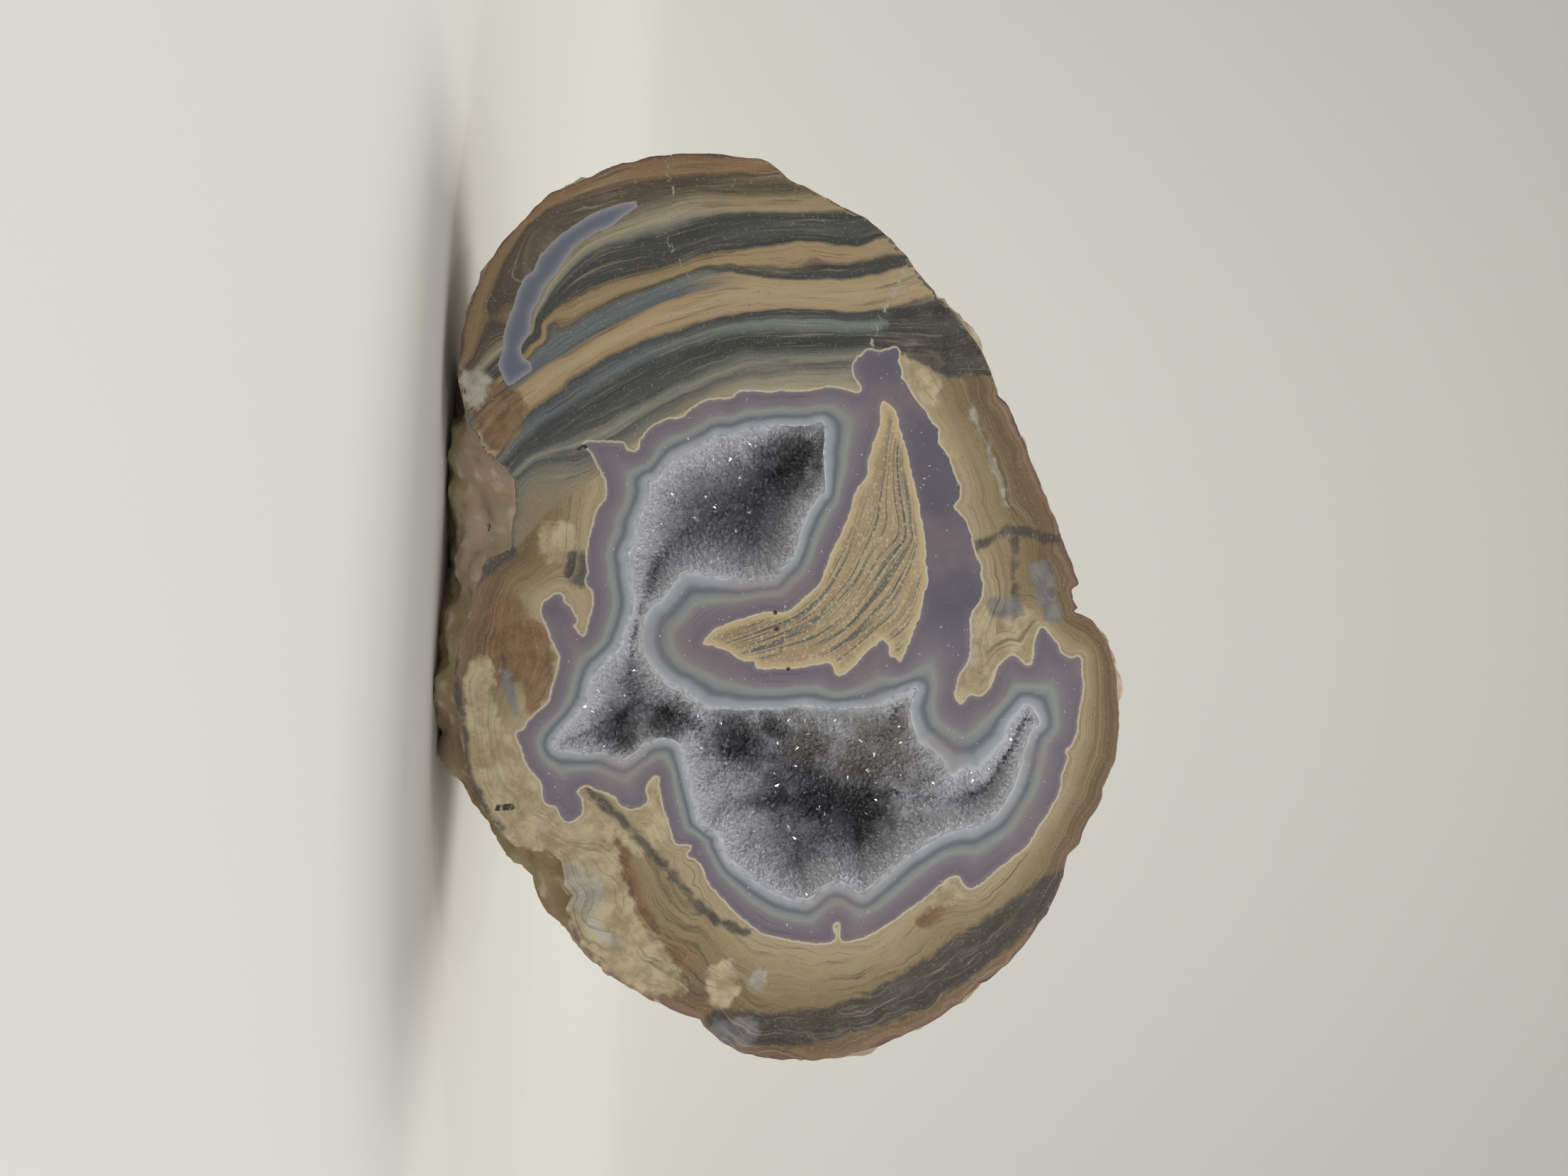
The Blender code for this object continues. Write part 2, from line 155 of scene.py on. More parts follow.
# The same way along the rind, which stands proud of the face there.
GIRTH_FOOT = (
    (949, 1429), (934, 1423), (914, 1411), (897, 1410), (880, 1397), (866, 1394), (850, 1388),
    (838, 1376), (818, 1356), (801, 1333), (785, 1313), (772, 1293), (766, 1276), (755, 1259),
    (741, 1238), (725, 1226), (710, 1223), (695, 1207), (683, 1187), (672, 1164), (663, 1141),
    (660, 1121), (649, 1105), (633, 1089), (624, 1069), (619, 1038), (621, 1026), (616, 1006),
    (614, 983), (614, 957), (625, 943), (626, 917), (627, 899), (625, 879), (625, 864),
    (634, 846), (639, 828), (639, 802), (638, 772), (637, 739), (638, 700), (641, 672),
    (637, 662), (629, 649), (628, 634), (631, 619), (638, 607), (647, 601),
)
HOLLOW_EDGE = (
    (1161, 598), (1136, 602), (1097, 601), (1077, 605), (1049, 608), (1036, 615), (1013, 615),
    (999, 624), (980, 631), (949, 649), (942, 656), (934, 665), (924, 677), (914, 680),
    (915, 693), (910, 713), (899, 736), (899, 749), (893, 767), (884, 782), (887, 795),
    (888, 805), (890, 826), (893, 846), (891, 864), (885, 882), (878, 902), (869, 918),
    (856, 930), (841, 946), (832, 966), (827, 989), (813, 1007), (800, 1022), (785, 1040),
    (781, 1050), (787, 1057), (803, 1058), (823, 1063), (841, 1061), (856, 1063), (874, 1073),
    (887, 1071), (900, 1062), (910, 1050), (923, 1043), (938, 1041), (953, 1045), (961, 1055),
    (966, 1081), (970, 1099), (976, 1119), (981, 1139), (986, 1158), (999, 1170), (1013, 1177),
    (1020, 1202), (1034, 1221), (1053, 1234), (1076, 1250), (1098, 1261), (1123, 1269),
    (1143, 1271), (1159, 1255), (1178, 1247), (1197, 1253), (1214, 1263), (1229, 1253),
    (1251, 1234), (1273, 1212), (1299, 1196), (1324, 1180), (1350, 1170), (1372, 1167),
    (1382, 1162), (1401, 1151), (1417, 1132), (1430, 1107), (1439, 1081), (1446, 1052),
    (1455, 1030), (1465, 1020), (1461, 1008), (1449, 995), (1436, 1005), (1422, 1025),
    (1417, 1043), (1404, 1059), (1388, 1075), (1379, 1086), (1359, 1081), (1343, 1092),
    (1331, 1075), (1312, 1056), (1294, 1041), (1288, 1027), (1283, 998), (1292, 971),
    (1261, 985), (1235, 997), (1200, 1000), (1171, 1001), (1130, 997), (1104, 1001),
    (1081, 1001), (1053, 1002), (1025, 1001), (997, 999), (976, 984), (964, 974), (943, 964),
    (925, 948), (913, 933), (905, 913), (905, 892), (908, 874), (918, 856), (933, 846),
    (946, 828), (959, 813), (974, 808), (997, 811), (1025, 816), (1045, 821), (1058, 819),
    (1078, 818), (1092, 815), (1101, 803), (1113, 792), (1123, 774), (1128, 754), (1135, 733),
    (1143, 718), (1156, 699), (1164, 689), (1161, 640),
)
# Where the chalcedony meets the rhyolite round it.
AGATE_EDGE = (
    (824, 625), (855, 624), (878, 626), (886, 636), (900, 636), (904, 621), (914, 608),
    (926, 599), (942, 592), (962, 589), (979, 575), (999, 565), (1032, 562), (1040, 555),
    (1056, 552), (1084, 554), (1102, 552), (1136, 552), (1168, 547), (1193, 550), (1209, 555),
    (1216, 549), (1211, 539), (1205, 530), (1204, 521), (1206, 511), (1219, 498), (1228, 493),
    (1239, 497), (1251, 494), (1264, 491), (1268, 498), (1267, 510), (1272, 524), (1271, 533),
    (1280, 544), (1291, 564), (1304, 579), (1314, 597), (1324, 607), (1323, 625), (1335, 640),
    (1342, 658), (1347, 673), (1354, 688), (1352, 704), (1345, 715), (1352, 724), (1363, 737),
    (1369, 755), (1375, 783), (1383, 796), (1383, 811), (1386, 826), (1383, 846), (1373, 859),
    (1368, 875), (1368, 896), (1368, 916), (1363, 936), (1353, 950), (1347, 972), (1346, 983),
    (1356, 994), (1368, 981), (1382, 983), (1396, 972), (1401, 961), (1408, 941), (1422, 927),
    (1433, 926), (1447, 939), (1455, 936), (1458, 922), (1461, 902), (1469, 885), (1481, 896),
    (1492, 910), (1497, 922), (1511, 929), (1520, 926), (1525, 930), (1525, 944), (1527, 972),
    (1523, 995), (1520, 1011), (1518, 1034), (1511, 1051), (1503, 1059), (1504, 1073),
    (1497, 1093), (1495, 1112), (1486, 1132), (1475, 1152), (1464, 1166), (1450, 1191),
    (1430, 1208), (1408, 1225), (1396, 1236), (1382, 1247), (1368, 1253), (1357, 1244),
    (1354, 1236), (1340, 1237), (1323, 1250), (1307, 1264), (1284, 1281), (1251, 1304),
    (1224, 1320), (1201, 1327), (1186, 1325), (1186, 1306), (1182, 1300), (1174, 1306),
    (1178, 1325), (1155, 1331), (1129, 1328), (1110, 1325), (1075, 1316), (1052, 1299),
    (1033, 1283), (1014, 1262), (999, 1245), (993, 1227), (982, 1213), (970, 1207),
    (976, 1193), (956, 1191), (950, 1184), (944, 1161), (936, 1138), (931, 1112), (930, 1098),
    (924, 1094), (914, 1104), (910, 1115), (914, 1129), (904, 1138), (887, 1141), (875, 1135),
    (867, 1124), (855, 1119), (830, 1109), (821, 1109), (814, 1118), (820, 1129), (821, 1147),
    (812, 1155), (801, 1160), (792, 1152), (784, 1138), (772, 1135), (766, 1124), (764, 1106),
    (756, 1095), (743, 1078), (735, 1055), (728, 1035), (738, 1030), (746, 1017), (761, 1003),
    (775, 989), (779, 972), (784, 957), (790, 930), (786, 917), (776, 897), (771, 881),
    (764, 866), (766, 851), (776, 844), (784, 838), (794, 841), (796, 851), (804, 856),
    (809, 866), (814, 876), (809, 884), (821, 898), (828, 892), (831, 876), (837, 853),
    (836, 835), (826, 820), (831, 807), (828, 790), (831, 764), (837, 741), (840, 728),
    (847, 713), (855, 703), (855, 680), (851, 670), (842, 654), (835, 639),
)
# The island of rhyolite inside the chalcedony.
LEAF = (
    (1244, 566), (1263, 579), (1268, 599), (1275, 622), (1282, 648), (1287, 673), (1294, 699),
    (1298, 724), (1304, 755), (1306, 775), (1306, 795), (1309, 818), (1303, 841), (1298, 869),
    (1292, 880), (1287, 896), (1280, 913), (1270, 935), (1263, 927), (1255, 926), (1253, 910),
    (1242, 902), (1236, 910), (1220, 922), (1205, 940), (1181, 954), (1171, 936), (1149, 939),
    (1123, 943), (1107, 944), (1079, 944), (1066, 943), (1064, 933), (1047, 933), (1028, 920),
    (1005, 911), (991, 907), (1008, 888), (1028, 879), (1059, 869), (1085, 863), (1110, 863),
    (1136, 841), (1155, 825), (1165, 799), (1174, 777), (1187, 751), (1200, 719), (1206, 694),
    (1222, 672), (1225, 649), (1232, 624), (1241, 598),
)
CRESCENT = (
    (898, 284), (874, 288), (849, 296), (830, 305), (810, 318), (791, 331), (775, 347),
    (759, 364), (753, 382), (740, 391), (731, 410), (724, 433), (716, 452), (710, 474),
    (710, 490), (704, 509), (704, 519), (712, 538), (718, 544), (737, 532), (750, 522),
    (748, 512), (739, 506), (735, 493), (740, 481), (747, 468), (750, 442), (759, 426),
    (769, 404), (785, 385), (798, 366), (810, 350), (830, 335), (842, 328), (861, 320),
    (874, 310), (884, 302), (898, 292),
)

# Flow lines of the big lobe: how far below its top they lie at its middle, in millimetres, and
# their course.
LOBE_FLOW = (
    (0.0, (
        (648, 506), (657, 449), (676, 399), (702, 351), (734, 315), (775, 275), (823, 254),
        (874, 231), (925, 220), (983, 216), (1027, 220),
    )),
    (3.2, (
        (690, 430), (715, 365), (750, 310), (800, 288), (850, 272), (900, 262), (950, 256),
        (1000, 250), (1050, 250), (1100, 247),
    )),
    (5.9, (
        (748, 468), (752, 440), (760, 415), (785, 372), (820, 335), (872, 308), (915, 293),
        (965, 280), (1020, 276), (1060, 280), (1100, 280), (1160, 276),
    )),
    (8.6, (
        (755, 455), (775, 415), (805, 378), (838, 350), (880, 338), (935, 325), (985, 311),
        (1040, 300), (1100, 302), (1150, 300), (1195, 299),
    )),
    (14.1, (
        (748, 485), (765, 450), (800, 425), (845, 402), (900, 388), (950, 377), (1000, 358),
        (1050, 353), (1100, 345), (1125, 342), (1150, 341), (1180, 347), (1200, 348),
        (1225, 346), (1245, 338),
    )),
    (15.7, (
        (750, 500), (780, 470), (825, 443), (875, 417), (925, 400), (975, 380), (1025, 375),
        (1100, 380), (1150, 377), (1200, 373), (1240, 362), (1275, 358),
    )),
    (17.2, (
        (755, 507), (790, 483), (830, 458), (875, 435), (925, 415), (975, 395), (1010, 383),
        (1050, 387), (1100, 397), (1175, 396), (1225, 393), (1270, 378),
    )),
    (19.5, (
        (665, 605), (700, 570), (750, 530), (800, 500), (850, 470), (900, 443), (950, 423),
        (1000, 412),
    )),
    (23.3, (
        (700, 645), (730, 600), (765, 565), (800, 537), (850, 505), (900, 483), (950, 466),
        (1000, 450), (1050, 440), (1100, 434), (1150, 436), (1200, 440), (1243, 436),
        (1280, 430), (1320, 424),
    )),
    (24.5, (
        (780, 575), (800, 560), (850, 528), (900, 500), (950, 480), (1000, 462), (1050, 452),
        (1100, 447), (1150, 449), (1200, 452), (1240, 452), (1340, 445),
    )),
    (28.5, (
        (760, 622), (800, 590), (850, 565), (900, 535), (950, 512), (1000, 494), (1050, 480),
        (1150, 480), (1240, 480), (1320, 488), (1378, 474),
    )),
    (30.8, (
        (705, 680), (750, 640), (800, 620), (850, 600), (900, 570), (950, 545), (1000, 525),
        (1050, 505), (1150, 500), (1225, 495), (1290, 508), (1395, 505),
    )),
    (34.8, (
        (728, 775), (745, 755), (775, 720), (800, 700), (825, 683), (850, 660), (870, 640),
        (904, 621), (942, 592), (1000, 565), (1056, 552), (1102, 552), (1150, 548),
        (1209, 550), (1300, 560), (1400, 550),
    )),
)
# What the lobe's flow lines fill. Its sides run out past the edge of the face.
LOBE_REGION = (
    (500, 100), (1480, 100), (1480, 520), (1410, 533), (1370, 528), (1330, 535), (1300, 515),
    (1268, 494), (1209, 552), (1102, 552), (1000, 565), (942, 592), (904, 621), (870, 640),
    (858, 662), (825, 683), (800, 700), (775, 720), (745, 755), (728, 775), (640, 800),
    (500, 800),
)

LOBE_SPAN = 36.0
# Colours of the lobe's bands, with the level where each starts: at its middle and right, and left.
LOBE_BANDS = (
    (0.0, "#4f3d39"), (0.6, "#86684c"), (2.4, "#927353"), (2.9, "#4a3c31"), (3.3, "#77684d"),
    (4.2, "#4f493a"), (5.4, "#6e6248"), (6.0, "#9a8666"), (8.1, "#a08c6b"), (8.7, "#454644"),
    (9.4, "#383a3a"), (11.6, "#4b4f4e"), (13.8, "#363837"), (14.2, "#a28a67"), (15.3, "#a78f6d"),
    (15.8, "#413f3a"), (16.9, "#3f4141"), (17.3, "#ab9573"), (20.0, "#b59f7e"), (23.0, "#ad9472"),
    (23.5, "#3c3d3e"), (24.5, "#4a4d4d"), (25.2, "#7d8480"), (26.6, "#636a67"), (27.6, "#3a3e3e"),
    (29.4, "#333635"), (30.7, "#676a62"), (31.4, "#8d8a78"), (32.4, "#5c605c"), (33.4, "#8e8977"),
    (34.8, "#aca084"),
)
LOBE_BANDS_LEFT = (
    (0.0, "#4f3d39"), (0.5, "#81654a"), (2.2, "#8b6f50"), (3.0, "#4e4235"), (5.2, "#5c5040"),
    (6.0, "#7b7462"), (7.4, "#a3997f"), (8.5, "#6d7069"), (9.2, "#3c3e3d"), (13.7, "#3c3d3a"),
    (14.3, "#8f7b58"), (15.4, "#a08a64"), (15.9, "#4f4334"), (16.6, "#6b7375"), (19.0, "#596064"),
    (19.7, "#a99069"), (21.5, "#b59e7b"), (23.0, "#a68c66"), (23.6, "#44464a"), (25.2, "#6a7072"),
    (26.6, "#43474a"), (28.0, "#373b3d"), (30.6, "#4d5150"), (31.6, "#8b8b7d"), (32.6, "#4e5352"),
    (34.0, "#7d7b6c"), (34.8, "#8c7f65"),
)
SHELL_SPAN = 16.0
# Colours of the shell, by the distance in from the rim.
SHELL_BANDS = (
    (0.0, "#6d5246"), (0.6, "#8a6d58"), (1.3, "#7b6347"), (3.5, "#6f5b41"), (6.0, "#84704f"),
    (8.5, "#92805f"), (10.5, "#a08e6c"), (12.5, "#b09d7c"), (16.0, "#a8957a"),
)

HUB = (1080, 860)
# Forms on the hollow's floor: where, how wide and how high in millimetres.
FLOOR_FORMS = (
    ((1220, 1055), 6.5, 6.0), ((1040, 1095), 4.0, 4.0), ((1085, 1160), 4.5, 3.0),
    ((1300, 1140), 5.0, 3.5), ((1175, 1135), 4.5, -3.0), ((1040, 1035), 3.5, -3.0),
    ((1080, 680), 6.0, -1.5),
)
SHELL_THICKNESS = 14.0
# The chips along the rim, how fine and how high, and the size of the other outlines' bumps.
RIM_CHIPS = (26.0, 0.18)
EDGE_BUMP = 0.9
SMOOTH_STEP = 1.0  # between the points of a stain's edge

# Pale quartz veins and dark open cracks: their width in millimetres and their course.
PALE_VEINS = (
    (0.6, ((945, 218), (940, 240), (948, 270), (940, 320), (945, 345), (958, 370), (975, 390))),
    (0.7, ((1280, 370), (1270, 395), (1262, 415), (1245, 440), (1235, 465), (1230, 490))),
    (0.2, ((972, 455), (970, 510), (978, 572))),
    (0.25, ((1503, 1060), (1540, 1058), (1577, 1048))),
    (0.25, ((1385, 1205), (1400, 1230), (1415, 1255), (1425, 1290), (1440, 1335))),
    (0.25, ((1425, 1245), (1450, 1265), (1480, 1283))),
    (0.2, ((1261, 985), (1300, 965), (1345, 950))),
)
CRACKS = (
    (0.2, ((1037, 462), (1025, 480), (1027, 500), (1022, 540), (1033, 565))),
    (0.2, ((1380, 920), (1400, 905), (1435, 895), (1465, 880), (1497, 872))),
    (0.6, ((1093, 862), (1095, 885), (1098, 905))),
    (0.6, ((1100, 908), (1105, 925), (1112, 945))),
    (0.7, ((888, 342), (902, 338))),
    (0.5, ((795, 513), (808, 501))),
    (0.9, ((700, 1140), (722, 1138))),
    (0.8, ((815, 632), (825, 631))),
    (0.5, ((795, 750), (805, 751))),
    (0.5, ((784, 816), (794, 815))),
)
# Flow lines of the island of rhyolite, as those of the lobe.
LEAF_FLOW = (
    (0.0, ((1000, 905), (1060, 885), (1110, 865), (1150, 835), (1185, 770), (1225, 660))),
    (3.5, ((1030, 918), (1090, 900), (1150, 875), (1200, 820), (1240, 740), (1255, 620))),
    (7.0, ((1080, 940), (1140, 925), (1200, 890), (1250, 830), (1290, 760), (1275, 640))),
    (10.5, ((1180, 950), (1235, 905), (1280, 870), (1305, 800), (1300, 740))),
)
# Where the druse is warm grey, and where painted shade makes it nearly black in its pits and shaded
# corners, each with a radius in millimetres.
WARM_SPOTS = (((1230, 1055), 10.0), ((1140, 1050), 6.0))
PIT_SHADE_SPOTS = (
    ((1040, 1040), 6.0), ((1090, 1020), 4.0), ((1150, 1130), 5.0), ((1220, 1150), 6.0),
    ((1090, 1130), 4.0), ((1120, 640), 7.0), ((870, 1035), 4.0), ((940, 1020), 4.0),
)
# Stains and zones of the rhyolite: closed patches, then broad strokes with a width.
STAINS = (
    ("rust", (
        ((660, 545), (700, 540), (740, 560), (735, 600), (700, 640), (675, 610)),
        ((690, 850), (735, 845), (745, 900), (735, 960), (700, 965), (680, 910)),
        ((740, 870), (775, 900), (780, 960), (750, 1010), (735, 960)),
    ), (
        (2.5, ((850, 1110), (870, 1180), (885, 1240), (905, 1290), (930, 1330), (960, 1350))),
        (2.0, ((1310, 1255), (1340, 1270), (1300, 1300))),
    )),
    ("cream", (
        ((655, 950), (690, 930), (700, 1000), (735, 1060), (770, 1110), (800, 1165), (845, 1110),
         (870, 1200), (900, 1290), (940, 1340), (965, 1400), (870, 1385), (800, 1290),
         (790, 1215), (720, 1190), (675, 1120), (660, 1060)),
        ((1375, 870), (1400, 845), (1440, 850), (1465, 880), (1450, 940), (1405, 960),
         (1356, 992), (1346, 975), (1366, 920)),
        ((1275, 500), (1325, 500), (1325, 560), (1300, 570)),
        ((765, 740), (805, 745), (810, 790), (770, 790)),
        ((1312, 1262), (1350, 1240), (1360, 1260), (1330, 1285)),
        ((1000, 1365), (1040, 1360), (1035, 1415), (1005, 1420)),
        ((850, 1110), (925, 1100), (940, 1180), (890, 1200)),
    ), (
        (1.5, ((1300, 580), (1320, 615), (1345, 650))),
    )),
    ("charcoal", (
        ((1262, 434), (1280, 428), (1322, 424), (1375, 480), (1400, 530), (1370, 528),
         (1330, 533), (1298, 512), (1250, 480)),
        ((1005, 1425), (1100, 1428), (1200, 1410), (1280, 1370), (1380, 1300), (1500, 1225),
         (1475, 1285), (1390, 1365), (1300, 1425), (1200, 1460), (1100, 1478), (1010, 1465)),
        ((800, 778), (830, 785), (828, 825), (800, 815)),
    ), (
        (1.2, ((830, 1115), (870, 1150), (900, 1180), (960, 1250), (1000, 1290), (1050, 1315))),
        (1.2, ((1375, 775), (1425, 748), (1490, 762))),
        (0.9, ((1430, 760), (1432, 870))),
        (1.6, ((675, 815), (720, 780))),
        (1.0, ((640, 940), (652, 1020), (660, 1090), (690, 1150), (705, 1170))),
    )),
    ("slate", (
        ((1453, 797), (1483, 797), (1490, 850), (1500, 873), (1475, 875), (1457, 825)),
        ((706, 945), (722, 950), (730, 1010), (715, 985)),
        ((1395, 845), (1440, 845), (1438, 868), (1395, 866)),
        ((1005, 1440), (1070, 1440), (1060, 1475), (1010, 1470)),
    ), ()),
    ("ash", (
        ((800, 1220), (850, 1240), (850, 1280), (830, 1290), (880, 1330), (850, 1330), (800, 1260)),
        ((1060, 1370), (1080, 1372), (1078, 1395), (1060, 1393)),
        ((652, 525), (690, 530), (680, 572), (660, 565)),
    ), (
        (0.8, ((1371, 860), (1371, 935))),
        (0.6, ((1370, 575), (1385, 615), (1405, 665), (1420, 710))),
    )),
)
# Each stain's two colours.
STAIN_COLOURS = (
    ("rust", "#69482f", "#8a6a4a"),
    ("cream", "#a4926f", "#cbbb98"),
    ("charcoal", "#302d2b", "#4a4643"),
    ("slate", "#5f5f6b", "#85827f"),
    ("ash", "#9a9489", "#bdb6a8"),
)
# Colours of the chalcedony, by the share of the way from the rhyolite to the hollow, and of the
# crescent, by the distance from its edge.
AGATE_LAYERS = (
    (0.0, "#857b80"), (0.1, "#736a74"), (0.3, "#7c747e"), (0.42, "#868085"), (0.52, "#939793"),
    (0.62, "#878c8e"), (0.70, "#696f78"), (0.76, "#787e86"), (0.82, "#979aa0"),
    (0.92, "#a5abb2"), (0.97, "#bcbdc3"), (1.0, "#cbcbce"),
)
LENS_SPAN = 3.0
LENS_LAYERS = ((0.0, "#9c9a98"), (0.35, "#7f7f8a"), (0.9, "#686b79"), (3.0, "#585b6a"))


def rgb(code):
    """A colour for a node, from its code as screens show it."""
    shown = [int(code[i:i + 2], 16) / 255 for i in (1, 3, 5)]
    return (*(c / 12.92 if c <= 0.04045 else ((c + 0.055) / 1.055) ** 2.4 for c in shown), 1.0)


def on_face(trace):
    """The (x, z) of traced points, in millimetres."""
    up, across = np.asarray(trace, float).T * TRACE
    u, w = across - MIDDLE_ACROSS, up - FLOOR_UP
    turn_x, turn_z = math.cos(FACE_ROLL), math.sin(FACE_ROLL)
    return np.column_stack([u * turn_x - w * turn_z, u * turn_z + w * turn_x])


def even_steps(line, step, closed=False):
    """Points along a line at about an even step."""
    ends = np.vstack([line, line[:1]]) if closed else line
    run = np.concatenate([[0.0], np.cumsum(np.hypot(*np.diff(ends, axis=0).T))])
    count = max(round(run[-1] / step), 1)
    marks = np.linspace(0.0, run[-1], count + 1)
    if closed:
        marks = marks[:-1]
    return np.column_stack([np.interp(marks, run, ends[:, i]) for i in (0, 1)])


def rounded(line, step, closed=False):
    """A smooth curve through the line's points, as points at about an even step."""
    count = len(line)
    pieces = []
    shares = np.linspace(0.0, 1.0, CURVE_POINTS, endpoint=False)[:, None]
    for i in range(count if closed else count - 1):
        if closed:
            a, b, c, d = (line[(i + k) % count] for k in (-1, 0, 1, 2))
        else:
            a, b, c, d = (line[min(max(i + k, 0), count - 1)] for k in (-1, 0, 1, 2))
        bend = (c - a, 2 * a - 5 * b + 4 * c - d, 3 * b - 3 * c + d - a)
        pieces.append(b + 0.5 * shares * (bend[0] + shares * (bend[1] + shares * bend[2])))
    if not closed:
        pieces.append(line[-1:])
    return even_steps(np.vstack(pieces), step, closed)


def roughened(line, height, size):
    """A closed line with small bumps along it."""
    along = np.roll(line, -1, axis=0) - np.roll(line, 1, axis=0)
    along /= np.hypot(*along.T)[:, None]
    bumps = [noise.fractal(Vector((x / size, 0.0, z / size)), *FRACTAL) for x, z in line]
    return line + height * np.column_stack([along[:, 1], -along[:, 0]]) * np.array(bumps)[:, None]


def line_distance(points, line, closed=False):
    """How far each point is from a line."""
    ends = np.vstack([line, line[:1]]) if closed else line
    nearest = np.full(len(points), np.inf)
    for start, end in zip(ends, ends[1:]):
        edge = end - start
        length = edge @ edge
        if length == 0:
            continue
        share = np.clip((points - start) @ edge / length, 0.0, 1.0)
        nearest = np.minimum(nearest, np.hypot(*(points - start - share[:, None] * edge).T))
    return nearest


def inside(points, outline):
    """Which points are inside a closed outline."""
    within = np.zeros(len(points), bool)
    for (ax, az), (bx, bz) in zip(outline, np.roll(outline, -1, axis=0)):
        if az != bz:
            crossing = ax + (points[:, 1] - az) / (bz - az) * (bx - ax)
            within ^= ((az > points[:, 1]) != (bz > points[:, 1])) & (points[:, 0] < crossing)
    return within


def depth_inside(points, outline):
    """How far each point is inside a closed outline. It is negative outside."""
    distance = line_distance(points, outline, True)
    return np.where(inside(points, outline), distance, -distance)


def unit(vectors):
    return vectors / np.linalg.norm(vectors, axis=1)[:, None]


class FlowField:
    """A smooth field of flow levels through traced lines: a thin-plate spline."""

    STEP = 3.0  # between the points that are kept of each line
    SIZE = 50.0  # for even numbers in the equations
    SLACK = 2e-4  # how far the field may leave the lines to stay smooth
    BATCH = 4000  # points worked out at a time
    LEAST = 1e-12  # square of a gap, so that its logarithm exists

    def __init__(self, lines):
        drawn = [even_steps(on_face(trace), self.STEP) / self.SIZE for _, trace in lines]
        self.centres = np.vstack(drawn)
        levels = np.concatenate([[level] * len(line) for (level, _), line in zip(lines, drawn)])
        count = len(self.centres)
        plane = np.column_stack([np.ones(count), self.centres])
        table = np.zeros((count + 3, count + 3))
        table[:count, :count] = self.bend(self.centres) + self.SLACK * np.eye(count)
        table[:count, count:] = plane
        table[count:, :count] = plane.T
        self.weights = np.linalg.solve(table, np.concatenate([levels, np.zeros(3)]))

    def bend(self, points):
        """What each centre adds at each point, before its weight."""
        gaps = points[:, None, :] - self.centres[None, :, :]
        squares = np.maximum((gaps**2).sum(axis=2), self.LEAST)
        return 0.5 * squares * np.log(squares)

    def at(self, points):
        """The levels at points, in the lines' own units."""
        found = []
        for part in np.array_split(points / self.SIZE, len(points) // self.BATCH + 1):
            plane = np.column_stack([np.ones(len(part)), part])
            found.append(np.hstack([self.bend(part), plane]) @ self.weights)
        return np.concatenate(found)


class Rind:
    """The rough outside of the stone, behind the edge of its polished face."""

    def __init__(self):
        self.hub = on_face([HUB])[0]
        self.face = self.reach(on_face(SILHOUETTE + FACE_FOOT))
        self.girth = np.maximum(self.face, self.reach(on_face(SILHOUETTE + GIRTH_FOOT)))
        steps = round(BACK_EVENED / (TURNS[1] - TURNS[0]))
        shifts = range(-steps, steps + 1)
        self.back = np.mean([np.roll(self.girth, shift) for shift in shifts], axis=0)

    def reach(self, outline):
        """How far an outline lies from the hub in every direction of TURNS."""
        ray_x, ray_z = np.cos(TURNS)[:, None], np.sin(TURNS)[:, None]
        start = outline - self.hub
        edge = np.roll(outline, -1, axis=0) - outline
        turn = ray_x * edge[:, 1] - ray_z * edge[:, 0]
        turn[np.abs(turn) < TINY] = np.nan
        ray = (start[:, 0] * edge[:, 1] - start[:, 1] * edge[:, 0]) / turn
        along = (start[:, 0] * ray_z - start[:, 1] * ray_x) / turn
        return np.where((ray > 0) & (along >= 0) & (along <= 1), ray, 0.0).max(axis=1)

    def radius(self, angle, depth):
        """How far the rind lies from the hub, before it closes towards the back."""
        face, girth, back = (
            np.interp(angle, TURNS, table, period=2 * math.pi)
            for table in (self.face, self.girth, self.back)
        )
        spread = np.sin(np.minimum(depth / GIRTH_DEPTH, 1.0) * math.pi / 2)
        even = np.clip((depth - GIRTH_DEPTH) / EVEN_DEPTH, 0.0, 1.0)
        front = face + (girth - face) * spread
        return front + (back - girth) * even

    def points(self, angle, turn):
        """(x, depth, z) of points, and their relief. turn goes from 0 at the face to 1 behind."""
        share, depth = profile(turn)
        radius = self.radius(angle, depth) * share
        start, end = FOOT_SPAN
        lobe = np.clip((depth - start) / (end - start), 0.0, 1.0)
        down = np.maximum(0.0, -np.sin(angle)) ** FOOT_NARROWING
        radius += FOOT_BULGE * down * np.sin(lobe * math.pi)
        x = self.hub[0] + radius * np.cos(angle)
        z = self.hub[1] + radius * np.sin(angle) + BACK_LEAN * depth * (1 - share)
        smooth = np.column_stack([x, depth, z])
        outward = unit(smooth - (self.hub[0], DEPTH * MIDDLE_DEPTH, self.hub[1]))
        lumps = np.array([lump_height(Vector(point)) for point in smooth])
        relief = np.array([fine_relief(Vector(point)) for point in smooth])
        grown = np.minimum(depth / LUMP_START, 1.0)
        return smooth + outward * ((lumps + relief) * grown)[:, None], relief


def profile(turn):
    """(share of the radius, depth) along the rind, from the face at 0 to the back at 1."""
    angle = turn * math.pi / 2
    power = 2 / ROUNDNESS
    return np.maximum(np.cos(angle), 0.0) ** power, DEPTH * np.sin(angle) ** power


def knob(point, size):
    """A rounded wart in each cell of an uneven grid, from 0 between warts to 1 on top."""
    distance = noise.voronoi(point / size)[0][0]
    return max(0.0, 1.0 - KNOB_FALL * distance * distance)


